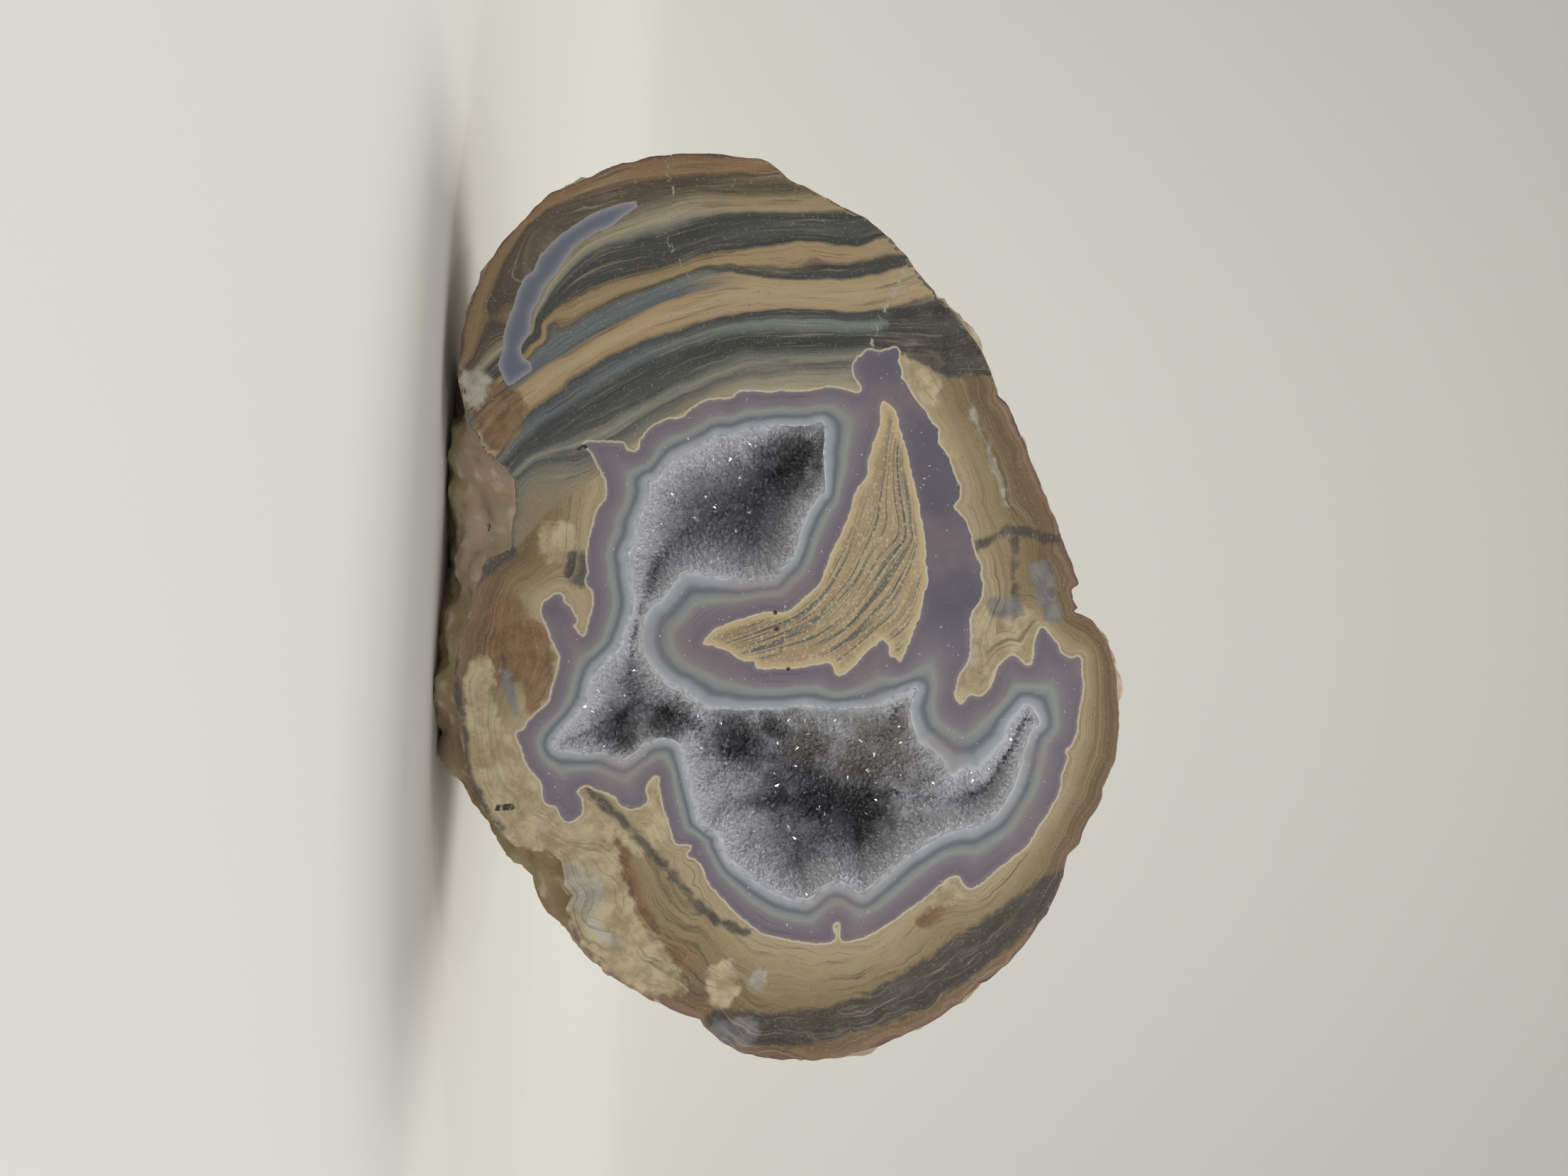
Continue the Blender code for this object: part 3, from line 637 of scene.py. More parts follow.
def ledge(point, spacing):
    """Worn steps along the flow bands, from 0 to 1."""
    height = point.z * math.cos(LEDGE_TILT) - point.x * math.sin(LEDGE_TILT)
    height += LEDGE_SWAY * noise.noise(point / LEDGE_SWAY_SIZE)
    share = (height / spacing) % 1.0
    return min(share, (1.0 - share) * LEDGE_STEEPNESS)


def lump_height(point):
    """The large relief of the rind, in millimetres."""
    height = sum(tall * (knob(point, size) - 0.5) for size, tall in KNOBS)
    height += SWELL[1] * noise.noise(point / SWELL[0])
    return height + LEDGES[1] * (ledge(point, LEDGES[0]) - 0.5)


def fine_relief(point):
    """Small warts, ridges and pits of the rind, in millimetres."""
    height = sum(tall * (knob(point, size) - 1.0) for size, tall in FINE_KNOBS)
    height += FINE_LEDGES[1] * (ledge(point, FINE_LEDGES[0]) - 1.0)
    return height + GRIT[1] * noise.fractal(point / GRIT[0], *FRACTAL)


def hollow_depth(points, edge):
    """How deep the stone's hollow is behind the face at points inside its edge."""
    swell = np.array([noise.noise(Vector((x, 0.0, z)) / HOLLOW_SWELL) for x, z in points])
    full = HOLLOW_DEPTH + HOLLOW_RELIEF * swell
    for centre, radius, height in FLOOR_FORMS:
        gap = points - on_face([centre])[0]
        full -= height * np.exp(-(gap**2).sum(axis=1) / radius**2)
    inward = np.maximum(depth_inside(points, edge), 0.0)
    return WALL + (full - WALL) * (1 - np.exp(-inward / HOLLOW_SLOPE))


def honeycomb(outline, spacing, jitter):
    """An uneven honeycomb of points over the outline's box."""
    low, high = outline.min(axis=0), outline.max(axis=0)
    rows = np.arange(0.0, high[1] - low[1], spacing * ROW_SHARE)
    columns = np.arange(0.0, high[0] - low[0] + spacing, spacing)
    x, z = np.meshgrid(columns, rows)
    x[1::2] += spacing / 2
    points = np.column_stack([x.ravel(), z.ravel()]) + low
    shifts = np.random.default_rng(len(points)).uniform(-jitter, jitter, points.shape)
    return points + shifts * spacing


def triangulated(loops, inner):
    """Points and triangles inside the first loop, with every loop among their edges."""
    points, edges = [], []
    for loop in loops:
        first = len(points)
        points += [Vector(point) for point in loop]
        edges += [(i, i + 1) for i in range(first, len(points) - 1)]
        edges.append((len(points) - 1, first))
    points += [Vector(point) for point in inner]
    found = delaunay_2d_cdt(points, edges, [], 1, SAME_POINT)
    return np.array([tuple(point) for point in found[0]]), np.array(found[2])


def away_from(points, lines, gap):
    """The points that keep a gap to every point of the lines."""
    drawn = np.vstack(lines)
    tree = KDTree(len(drawn))
    for i, (x, z) in enumerate(drawn):
        tree.insert((x, z, 0.0), i)
    tree.balance()
    return points[[tree.find((x, z, 0.0))[2] > gap for x, z in points]]


def boundary_loops(triangles):
    """The closed loops of edges that only one triangle has, the longest first."""
    ends = np.concatenate([triangles[:, [0, 1]], triangles[:, [1, 2]], triangles[:, [2, 0]]])
    used = {tuple(pair) for pair in ends}
    following = {a: b for a, b in used if (b, a) not in used}
    loops = []
    while following:
        start = next(iter(following))
        loop = [start]
        while (after := following.pop(loop[-1])) != start:
            loop.append(after)
        loops.append(np.array(loop))
    return sorted(loops, key=len, reverse=True)


def rind_rings(spacing):
    """Rings of even spacing over the rind: each a turn, its radius on a flat disc and its count.

    The disc is a conformal map of the rind, so that triangles which are good on one are good on
    the other.
    """
    turns = np.linspace(0.0, 1.0, PROFILE_POINTS)
    shares, depths = profile(turns)
    around = shares * MEAN_RADIUS
    steps = np.hypot(np.diff(around), np.diff(depths))
    run = np.concatenate([[0.0], np.cumsum(steps)])
    shrink = np.concatenate([[0.0], np.cumsum(steps / np.maximum(around[:-1], LEAST_GIRTH))])
    for distance in np.arange(spacing / 2, run[-1] - spacing / 2, spacing * RING_STEP):
        girth = 2 * math.pi * np.interp(distance, run, around)
        radius = math.exp(-np.interp(distance, run, shrink))
        yield np.interp(distance, run, turns), radius, max(round(girth / spacing), LEAST_RING)


def rind_sheet(rind, rim, spacing):
    """The rind's points behind the rim, its relief, and triangles over the rim and the points."""
    around = np.arctan2(rim[:, 1] - rind.hub[1], rim[:, 0] - rind.hub[0])
    # The disc's middle is the back of the stone.
    angles, turns, radii = [0.0], [1.0], [0.0]
    for number, (turn, radius, count) in enumerate(rind_rings(spacing)):
        ring = 2 * math.pi * (np.arange(count) + 0.5 * (number % 2)) / count
        angles.extend(ring)
        turns.extend([turn] * count)
        radii.extend([radius] * count)
    angles, turns, radii = map(np.array, (angles, turns, radii))
    loop = np.column_stack([np.cos(around), np.sin(around)])
    disc = np.column_stack([radii * np.cos(angles), radii * np.sin(angles)])
    triangles = triangulated([loop], disc)[1]
    places, relief = rind.points(angles, turns)
    return places, relief, triangles


class Pattern:
    """What was traced on the polished face, as lines in millimetres."""

    def __init__(self, rind, step):
        fineness, height = RIM_CHIPS
        rays = np.column_stack([np.cos(TURNS), np.sin(TURNS)])
        chips = [noise.fractal(Vector((x, z, 0.0)) * fineness, *FRACTAL) for x, z in rays]
        reach = rind.face + height * np.array(chips)
        self.rim = even_steps(rind.hub + rays * reach[:, None], step, True)
        self.hollow = self.outline(HOLLOW_EDGE, step, bumps=0.12)
        self.agate = self.outline(AGATE_EDGE, step, bumps=0.12)
        self.leaf = self.outline(LEAF, step, bumps=0.14)
        self.crescent = self.outline(CRESCENT, step, bumps=0.08)
        self.veins = [rounded(on_face(trace), step) for _, trace in PALE_VEINS]
        self.cracks = [rounded(on_face(trace), step) for _, trace in CRACKS]

    @staticmethod
    def outline(trace, step, bumps):
        """A traced outline, smoothed and then roughened again by bumps of that height."""
        return roughened(rounded(on_face(trace), step, True), bumps, EDGE_BUMP)

    def fields(self, points):
        """The face's fields at points of it: each a name and a value for every point."""
        agate = depth_inside(points, self.agate)
        hollow = -depth_inside(points, self.hollow)
        rim = depth_inside(points, self.rim)
        leaf = depth_inside(points, self.leaf)
        to_core = np.maximum(-agate, 0.0)
        inward = rim / np.maximum(rim + to_core, TINY)
        found = {
            "agate": np.minimum(agate, -leaf),
            "hollow": hollow,
            "leaf": leaf,
            "leaf_level": FlowField(LEAF_FLOW).at(points),
            "lobe": depth_inside(points, on_face(LOBE_REGION)),
            "lobe_level": FlowField(LOBE_FLOW).at(points),
            "shell_level": SHELL_THICKNESS * inward,
            "crescent": depth_inside(points, self.crescent),
            "vein": nearest_line(points, self.veins, PALE_VEINS),
            "crack": nearest_line(points, self.cracks, CRACKS),
        }
        for name, patches, strokes in STAINS:
            found[name] = stain(points, patches, strokes)
        return found


def nearest_line(points, lines, drawn):
    """How far each point is inside the nearest of some lines that have a width."""
    depths = [width / 2 - line_distance(points, line) for line, (width, _) in zip(lines, drawn)]
    return np.max(depths, axis=0)


def stain(points, patches, strokes):
    """How far each point is inside the nearest of some patches and broad strokes."""
    edges = [rounded(on_face(patch), SMOOTH_STEP, True) for patch in patches]
    depths = [depth_inside(points, edge) for edge in edges]
    for width, stroke in strokes:
        depths.append(width / 2 - line_distance(points, rounded(on_face(stroke), SMOOTH_STEP)))
    return np.max(depths, axis=0)


class Nodes:
    """The nodes of one material. An input may be a number, a colour or another node's output."""

    BUMP = 0.3  # height of a full bump, in millimetres
    STRETCH = 0.07  # how far streaks are drawn out
    STREAK_GRAIN = (1.0, 4.0, 0.6)

    def __init__(self, name):
        self.material = bpy.data.materials.new(name)
        self.material.use_nodes = True
        self.tree = self.material.node_tree
        self.shader = self.tree.nodes["Principled BSDF"]
        place = self.tree.nodes.new("ShaderNodeTexCoord").outputs["Object"]
        self.place = self.vector("SCALE", place, scale=1 / MM)

    def feed(self, socket, value):
        if isinstance(value, bpy.types.NodeSocket):
            self.tree.links.new(value, socket)
        else:
            socket.default_value = value

    def add(self, kind, inputs, output=0, **settings):
        node = self.tree.nodes.new(kind)
        for name, value in settings.items():
            setattr(node, name, value)
        for key, value in inputs.items():
            self.feed(node.inputs[key], value)
        return node.outputs[output]

    def vector(self, operation, a, b=(0.0, 0.0, 0.0), scale=1.0):
        inputs = {0: a, 1: b, 3: scale}
        return self.add("ShaderNodeVectorMath", inputs, operation=operation)

    def math(self, operation, a, b=0.0):
        return self.add("ShaderNodeMath", {0: a, 1: b}, operation=operation)

    def height(self):
        return self.add("ShaderNodeSeparateXYZ", {0: self.place}, "Z")

    def field(self, name):
        return self.add("ShaderNodeAttribute", {}, "Fac", attribute_name=name)

    def noise(self, scale, detail=3.0, roughness=0.5, place=None):
        inputs = {"Vector": place or self.place, "Scale": scale}
        inputs |= {"Detail": detail, "Roughness": roughness}
        return self.add("ShaderNodeTexNoise", inputs)

    def wavy(self, name, waves):
        """A field, moved up and down by noise. Waves are the noise's scale and the field's swing."""
        scale, amount = waves
        swing = self.math("SUBTRACT", self.noise(scale), 0.5)
        return self.math("ADD", self.field(name), self.math("MULTIPLY", swing, amount))

    def step(self, value, start, full):
        """A share that grows from 0 where the value is at start to 1 where it is at full."""
        inputs = {"Value": value, "From Min": start, "From Max": full}
        return self.add("ShaderNodeMapRange", inputs, interpolation_type="SMOOTHSTEP")

    def between(self, share, a, b):
        return self.add("ShaderNodeMix", {0: share, 2: a, 3: b})

    def mix(self, share, a, b):
        return self.add("ShaderNodeMix", {0: share, 6: a, 7: b}, 2, data_type="RGBA")

    def cover(self, colour, value, start, full, top, strength=1.0):
        """The colour, with another on top of it where the value goes from start to full."""
        share = self.math("MULTIPLY", self.step(value, start, full), strength)
        return self.mix(share, colour, rgb(top) if isinstance(top, str) else top)

    def ramp(self, value, span, stops):
        """Colours by a value, each stop at its level within the span."""
        node = self.tree.nodes.new("ShaderNodeValToRGB")
        self.tree.links.new(self.math("DIVIDE", value, span), node.inputs[0])
        elements = node.color_ramp.elements
        while len(elements) < len(stops):
            elements.new(1.0)
        for element, (level, _) in zip(elements, stops):
            element.position = level / span
        for element, (_, code) in zip(elements, stops):
            element.color = rgb(code)
        return node.outputs[0]

    def streaks(self, level, fineness):
        """Noise drawn out along the flow lines of a level."""
        along = self.math("MULTIPLY", self.height(), self.STRETCH)
        across = self.math("MULTIPLY", level, fineness)
        place = self.add("ShaderNodeCombineXYZ", {0: across, 1: along})
        return self.noise(*self.STREAK_GRAIN, place)

    def finish(self, colour, roughness, height=None, strength=0.0):
        """The material, with its colour, its roughness and, where a height is given, a bump."""
        self.feed(self.shader.inputs["Base Color"], colour)
        self.feed(self.shader.inputs["Roughness"], roughness)
        if height is not None:
            inputs = {"Height": height, "Strength": strength, "Distance": self.BUMP * MM}
            self.feed(self.shader.inputs["Normal"], self.add("ShaderNodeBump", inputs))
        return self.material


# What the materials are made of. Waves are a noise's scale and how far it moves a field. A grain is
# a noise's scale, detail and roughness. A cover is where it starts, where it is full, its colour
# and how much it hides. Seams are covers without a colour. Scales are to a millimetre.
LOBE_WAVES = (0.25, 0.9)
SHELL_WAVES = (0.12, 5.0)
LOBE_SEAM = (-0.4, 0.4)
LEFT_SEAM = (44.0, 32.0)
STAIN_WAVES = (0.7, 2.4)
STAIN_GRAIN = (0.35, 6.0, 0.65)
STAIN_TINTS = (0.35, 0.65)
STAIN_SEAM = (-0.5, 0.5)
STAIN_STRENGTH = 0.88
STREAKS = (1.1, 3.0, 6.5)
PALE_STREAK = (0.56, 0.76, "#a89b81", 0.62)
DARK_STREAK = (0.45, 0.27, "#332c26", 0.62)
ROCK_GRAIN = (3.0, 3.0, 0.6)
PALE_FLECK = (0.58, 0.78, "#bcae92", 0.5)
DARK_FLECK = (0.36, 0.26, "#2d241d", 0.7)

LAYER_WAVES = (0.4, 0.7)
HOLLOW_WAVES = (0.4, 0.5)
LEAST_LAYER = 0.05
LINE_FINENESS = 3.0
LINE_REGION = (0.5, 0.3)
LINE_STRENGTH = 0.6
DARK_LINE = (0.42, 0.28, "#514a5c")
THICK_SCALE = 0.2
THICK_COLOURS = ("#4e4e5e", "#6a6672")
THICK_SEAM = (7.0, 16.0)
THICK_STRENGTH = 0.75
PINK_SCALE = 0.09
PINK = (0.5, 0.7, "#93807f", 0.4)
SPECK_GRAIN = (2.2, 1.0)
SPECK = (0.74, 0.8, "#b9b9c4")

LEAF_SCALE = 0.2
LEAF_COLOURS = ("#93795a", "#c3b08f")
LEAF_STREAKS = ((0.9, "#a58b68"), (1.6, "#5b605b"), (3.2, "#6b665a"))
LEAF_STREAK_SEAM = (0.48, 0.38)
LEAF_FLECK_GRAIN = (2.5, 2.0)
LEAF_FLECK = (0.5, 0.75, "#d6c9ae", 0.6)
LEAF_WAVES = (1.0, 0.8)
LEAF_EDGE = (1.3, 0.5, "#cbb586", 0.7)
LEAF_SEAM = (-0.05, 0.05)

AGATE_WAVES = (2.0, 0.35)
AGATE_SEAM = (-0.06, 0.06)
RIM_OFFSET = 0.12
AGATE_RIM = (0.22, 0.06, "#cdc2ad", 0.75)
LENS_WAVES = (1.5, 0.3)
LENS_SEAM = (-0.1, 0.1)
CRACK_WAVES = (2.5, 0.25)
CRACK_SEAM = (-0.06, 0.08)
CRACK_COLOURS = (("vein", "#a9a698"), ("crack", "#2a2522"))
ROCK_ROUGHNESS = 0.34
AGATE_ROUGHNESS = 0.2
POLISH_GRAIN = (2.2, 3.0)
POLISH_BUMP = 0.06

RIND_COLOUR = "#b5a08c"
TAN_SCALE = 0.04
TAN = (0.4, 0.62, "#9c8460")
GREEN_SHIFT = (40.0, 0.0, 9.0)
GREEN_SCALE = 0.06
GREEN = (0.52, 0.66, "#b3ae80", 0.6)
RIND_PIT = (-0.6, -1.5, "#5e4a38")
RIND_TOP = (-0.5, -0.1, "#d0c2ac")
SEAMED = (0.5, 0.5, 2.2)
DARK_GRAIN = (0.5, 5.0, 0.65)
DARK_PATCH = (0.37, 0.27, "#3d3027")
RIND_ROUGHNESS = 0.85
RIND_GRAIN = (1.4, 6.0, 0.7)
RIND_BUMP = 0.7

# Painted shade: the druse turns from its pale fringe colour to its dark floor colour with depth
# behind the face, as shade deepens in the hollow.
DEPTH_SHADE_WAVES = (0.3, 3.0)
DEPTH_SHADE_SEAM = (1.5, 13.0)
SPOT_WAVES = (0.3, 1.5)
SPOT_SEAM = (-0.2, 0.9)
SPOT_STRENGTH = 0.8
# The warm grey spots are the druse's own colour. The near-black ones are painted shade in its pits
# and shaded corners.
SPOTS = (("warm", WARM_SPOTS, "#77736b"), ("pit_shade", PIT_SHADE_SPOTS, "#242327"))
QUARTZ_IOR = 1.544
QUARTZ_ROUGHNESS = 0.14


def rhyolite_colour(nodes):
    """Flow-banded rhyolite: the lobe's bands and, below and beside them, the shell's."""
    level = nodes.wavy("lobe_level", LOBE_WAVES)
    middle = nodes.ramp(level, LOBE_SPAN, LOBE_BANDS)
    left = nodes.ramp(level, LOBE_SPAN, LOBE_BANDS_LEFT)
    lobe = nodes.cover(middle, nodes.height(), *LEFT_SEAM, left)
    inward = nodes.wavy("shell_level", SHELL_WAVES)
    shell = nodes.ramp(inward, SHELL_SPAN, SHELL_BANDS)
    side = nodes.step(nodes.field("lobe"), *LOBE_SEAM)
    colour = nodes.mix(side, shell, lobe)
    for name, code, streaked in STAIN_COLOURS:
        tint = nodes.cover(rgb(code), nodes.noise(*STAIN_GRAIN), *STAIN_TINTS, streaked)
        edge = nodes.wavy(name, STAIN_WAVES)
        colour = nodes.cover(colour, edge, *STAIN_SEAM, tint, STAIN_STRENGTH)
    for fineness in STREAKS:
        in_lobe = nodes.streaks(level, fineness)
        in_shell = nodes.streaks(inward, fineness)
        drawn = nodes.between(side, in_shell, in_lobe)
        colour = nodes.cover(colour, drawn, *PALE_STREAK)
        colour = nodes.cover(colour, drawn, *DARK_STREAK)
    grain = nodes.noise(*ROCK_GRAIN)
    colour = nodes.cover(colour, grain, *PALE_FLECK)
    return nodes.cover(colour, grain, *DARK_FLECK)


def agate_colour(nodes):
    """Chalcedony: mauve with fine dark lines outside, pale and slate-blue layers by the hollow."""
    outer = nodes.wavy("agate", LAYER_WAVES)
    inner = nodes.math("MAXIMUM", nodes.wavy("hollow", HOLLOW_WAVES), LEAST_LAYER)
    whole = nodes.math("ADD", nodes.math("MAXIMUM", outer, 0.0), inner)
    share = nodes.math("DIVIDE", outer, whole)
    colour = nodes.ramp(share, 1.0, AGATE_LAYERS)
    strength = nodes.math("MULTIPLY", nodes.step(share, *LINE_REGION), LINE_STRENGTH)
    lines = nodes.streaks(outer, LINE_FINENESS)
    colour = nodes.cover(colour, lines, *DARK_LINE, strength)
    deep = nodes.mix(nodes.noise(THICK_SCALE), *map(rgb, THICK_COLOURS))
    colour = nodes.cover(colour, whole, *THICK_SEAM, deep, THICK_STRENGTH)
    colour = nodes.cover(colour, nodes.noise(PINK_SCALE), *PINK)
    return nodes.cover(colour, nodes.noise(*SPECK_GRAIN), *SPECK)


def leaf_colour(nodes):
    """The rhyolite island: beige with curved grey streaks and a yellow edge."""
    level = nodes.field("leaf_level")
    colour = nodes.mix(nodes.noise(LEAF_SCALE), *map(rgb, LEAF_COLOURS))
    for fineness, code in LEAF_STREAKS:
        colour = nodes.cover(colour, nodes.streaks(level, fineness), *LEAF_STREAK_SEAM, code)
    colour = nodes.cover(colour, nodes.noise(*LEAF_FLECK_GRAIN), *LEAF_FLECK)
    return nodes.cover(colour, nodes.wavy("leaf", LEAF_WAVES), *LEAF_EDGE)


def polished_face():
    """The sawn and polished face: rhyolite, its island, chalcedony, crescent, veins and cracks."""
    nodes = Nodes("polished_face")
    colour = rhyolite_colour(nodes)
    colour = nodes.cover(colour, nodes.field("leaf"), *LEAF_SEAM, leaf_colour(nodes))
    edge = nodes.wavy("agate", AGATE_WAVES)
    agate = nodes.step(edge, *AGATE_SEAM)
    colour = nodes.mix(agate, colour, agate_colour(nodes))
    from_rim = nodes.math("ABSOLUTE", nodes.math("ADD", edge, RIM_OFFSET))
    colour = nodes.cover(colour, from_rim, *AGATE_RIM)
    lens = nodes.wavy("crescent", LENS_WAVES)
    layers = nodes.ramp(nodes.math("MAXIMUM", lens, 0.0), LENS_SPAN, LENS_LAYERS)
    colour = nodes.cover(colour, lens, *LENS_SEAM, layers)
    for name, code in CRACK_COLOURS:
        colour = nodes.cover(colour, nodes.wavy(name, CRACK_WAVES), *CRACK_SEAM, code)
    roughness = nodes.between(agate, ROCK_ROUGHNESS, AGATE_ROUGHNESS)
    return nodes.finish(colour, roughness, nodes.noise(*POLISH_GRAIN), POLISH_BUMP)


def rind_finish():
    """The weathered rind: pinkish and tan, greenish in places, dark in its pits."""
    nodes = Nodes("weathered_rind")
    colour = nodes.cover(rgb(RIND_COLOUR), nodes.noise(TAN_SCALE), *TAN)
    shifted = nodes.vector("ADD", nodes.place, GREEN_SHIFT)
    colour = nodes.cover(colour, nodes.noise(GREEN_SCALE, place=shifted), *GREEN)
    relief = nodes.field("relief")
    colour = nodes.cover(colour, relief, *RIND_PIT)
    colour = nodes.cover(colour, relief, *RIND_TOP)
    squeezed = nodes.vector("MULTIPLY", nodes.place, SEAMED)
    colour = nodes.cover(colour, nodes.noise(*DARK_GRAIN, squeezed), *DARK_PATCH)
    return nodes.finish(colour, RIND_ROUGHNESS, nodes.noise(*RIND_GRAIN), RIND_BUMP)


def druse_finish(settings):
    """Drusy quartz: bright at the hollow's edge, with painted shade that darkens it in its depth and
    in its pits.
    """
    nodes = Nodes("drusy_quartz")
    fringe = (*settings.fringe_colour, 1.0)
    floor = (*settings.shaded_floor_colour, 1.0)
    # Painted shade: the colour darkens towards the floor colour with depth behind the face.
    colour = nodes.cover(fringe, nodes.wavy("depth", DEPTH_SHADE_WAVES), *DEPTH_SHADE_SEAM, floor)
    for name, _, code in SPOTS:
        colour = nodes.cover(colour, nodes.wavy(name, SPOT_WAVES), *SPOT_SEAM, code, SPOT_STRENGTH)
    nodes.shader.inputs["Transmission Weight"].default_value = settings.clearness
    nodes.shader.inputs["IOR"].default_value = QUARTZ_IOR
    return nodes.finish(colour, QUARTZ_ROUGHNESS)


def placed(name, data):
    """A new object of the scene."""
    made = bpy.data.objects.new(name, data)
    bpy.context.scene.collection.objects.link(made)
    return made


def make_piece(name, points, triangles, materials, kinds, fields):
    """One mesh object: kinds gives each triangle's material, and fields a value for each point."""
    mesh = bpy.data.meshes.new(name)
    places = (points + (0.0, FACE_Y, 0.0)) * MM
    mesh.from_pydata(places.tolist(), [], triangles.tolist())
    for field, values in fields.items():
        stored = mesh.attributes.new(field, "FLOAT", "POINT")
        stored.data.foreach_set("value", np.asarray(values, np.float32))
    for material in materials:
        mesh.materials.append(material)
    mesh.polygons.foreach_set("material_index", kinds)
    mesh.update()
    return placed(name, mesh)


def close_up(made):
    """Joins the sheets of a piece along their shared edges and points its faces out."""
    bm = bmesh.new()
    bm.from_mesh(made.data)
    bmesh.ops.remove_doubles(bm, verts=bm.verts[:], dist=SEAM * MM)
    bmesh.ops.recalc_face_normals(bm, faces=bm.faces[:])
    bm.to_mesh(made.data)
    bm.free()


def sheet_at(points, depths):
    """Points of the face, moved back from it by their depths."""
    return np.column_stack([points[:, 0], np.broadcast_to(depths, len(points)), points[:, 1]])


def band(top, low):
    """Triangles between two closed rows of points."""
    after = np.roll(top, -1)
    return np.vstack([
        np.column_stack([top, after, low]), np.column_stack([after, np.roll(low, -1), low])
    ])


def face_sheet(pattern, cells):
    """The polished face's points and triangles, with its outlines among their edges."""
    outlines = [pattern.rim, pattern.hollow, pattern.agate, pattern.leaf, pattern.crescent]
    inner = honeycomb(pattern.rim, cells, FACE_JITTER)
    inner = inner[inside(inner, pattern.rim) & ~inside(inner, pattern.hollow)]
    drawn = outlines + pattern.veins + pattern.cracks
    face, triangles = triangulated(outlines, away_from(inner, drawn, cells * FACE_CLEARANCE))
    triangles = triangles[~inside(face[triangles].mean(axis=1), pattern.hollow)]
    used, triangles = np.unique(triangles, return_inverse=True)
    return face[used], triangles.reshape(-1, 3)


def hollow_floor(edge):
    """The points of the stone's bare hollow and its triangles. The edge's points come first."""
    inner = honeycomb(edge, FLOOR_SPACING, FACE_JITTER)
    floor, triangles = triangulated([edge], inner[depth_inside(inner, edge) > FLOOR_MARGIN])
    depths = hollow_depth(floor, edge)
    depths[:len(edge)] = WALL
    return sheet_at(floor, depths), triangles


POLISHED, WEATHERED = 0, 1  # which of the stone's materials a sheet has
BARE_RELIEF = -0.5  # of the surfaces that the rind's relief leaves out


def build_stone(settings):
    """The stone: its polished face, its rind, and the wall and floor of its hollow."""
    rind = Rind()
    pattern = Pattern(rind, settings.outline_step / MM)
    face, triangles = face_sheet(pattern, settings.face_spacing / MM)
    loops = boundary_loops(triangles)
    rim, edge = face[loops[0]], face[loops[1]]
    places, relief, rind_triangles = rind_sheet(rind, rim, settings.rind_spacing / MM)
    row = np.arange(len(edge))
    wall = np.vstack([sheet_at(edge, 0.0), sheet_at(edge, WALL)])
    sheets = (
        (sheet_at(face, 0.0), triangles, POLISHED),
        (np.vstack([sheet_at(rim, 0.0), places]), rind_triangles, WEATHERED),
        (wall, band(row, row + len(edge)), WEATHERED),
        (*hollow_floor(edge), WEATHERED),
    )
    points = np.vstack([sheet[0] for sheet in sheets])
    points[:, 2] = np.maximum(points[:, 2], 0.0)
    starts = np.cumsum([0] + [len(sheet[0]) for sheet in sheets])
    faces = np.vstack([sheet[1] + start for sheet, start in zip(sheets, starts)])
    kinds = np.concatenate([[sheet[2]] * len(sheet[1]) for sheet in sheets])
    fields = {}
    for name, values in pattern.fields(face).items():
        fields[name] = np.zeros(len(points))
        fields[name][:len(face)] = values
    fields["relief"] = np.full(len(points), BARE_RELIEF)
    first = starts[1] + len(rim)
    fields["relief"][first:first + len(relief)] = relief
    materials = [polished_face(), rind_finish()]
    stone = make_piece("stone_dressed", points, faces, materials, kinds, fields)
    close_up(stone)
    stone.data.shade_smooth()
    stone.data.set_sharp_from_angle(angle=SHARP_EDGE)
    return stone


# The druse. Lengths are in millimetres.
DRUSE_OUTLINE_STEP = 0.35
DRUSE_RIM_STEP = 0.5
DRUSE_CELLS = 0.6
DRUSE_JITTER = 0.2
DRUSE_MARGIN = 0.4  # from its rim to the first points, as a share of a cell
# Its knobs, each with its size, the layer of noise that it comes from and its share of the relief.
DRUSE_KNOBS = ((2.6, 0.0, 1.0), (1.1, 9.0, 0.5))
DRUSE_RELIEF = 0.7
FULL_RELIEF_DEPTH = 6.0
DRUSE_FRONT = 0.12  # the least depth of its surface behind the face
DRUSE_BACK = 0.8  # from its back to the stone's bare floor
DRUSE_THICKNESS = 0.4

# Its quartz points: six sides, a tip in front and a root behind, as shares of their width.
SIDES = 6
TIP = 0.7
ROOT = 0.6
MOST_CRYSTALS = 11000
CRYSTAL_SEED = 7
CRYSTAL_LEAN = 0.35
CRYSTAL_WIDTHS = (0.5, 1.3)
ROOM_SHARE = 0.5  # of its depth behind the face, which a point may fill
LEAST_WIDTH = 0.08
CRYSTAL_FRONT = 0.05
CRYSTAL_SIDE = (0.3, 0.1, 0.9)


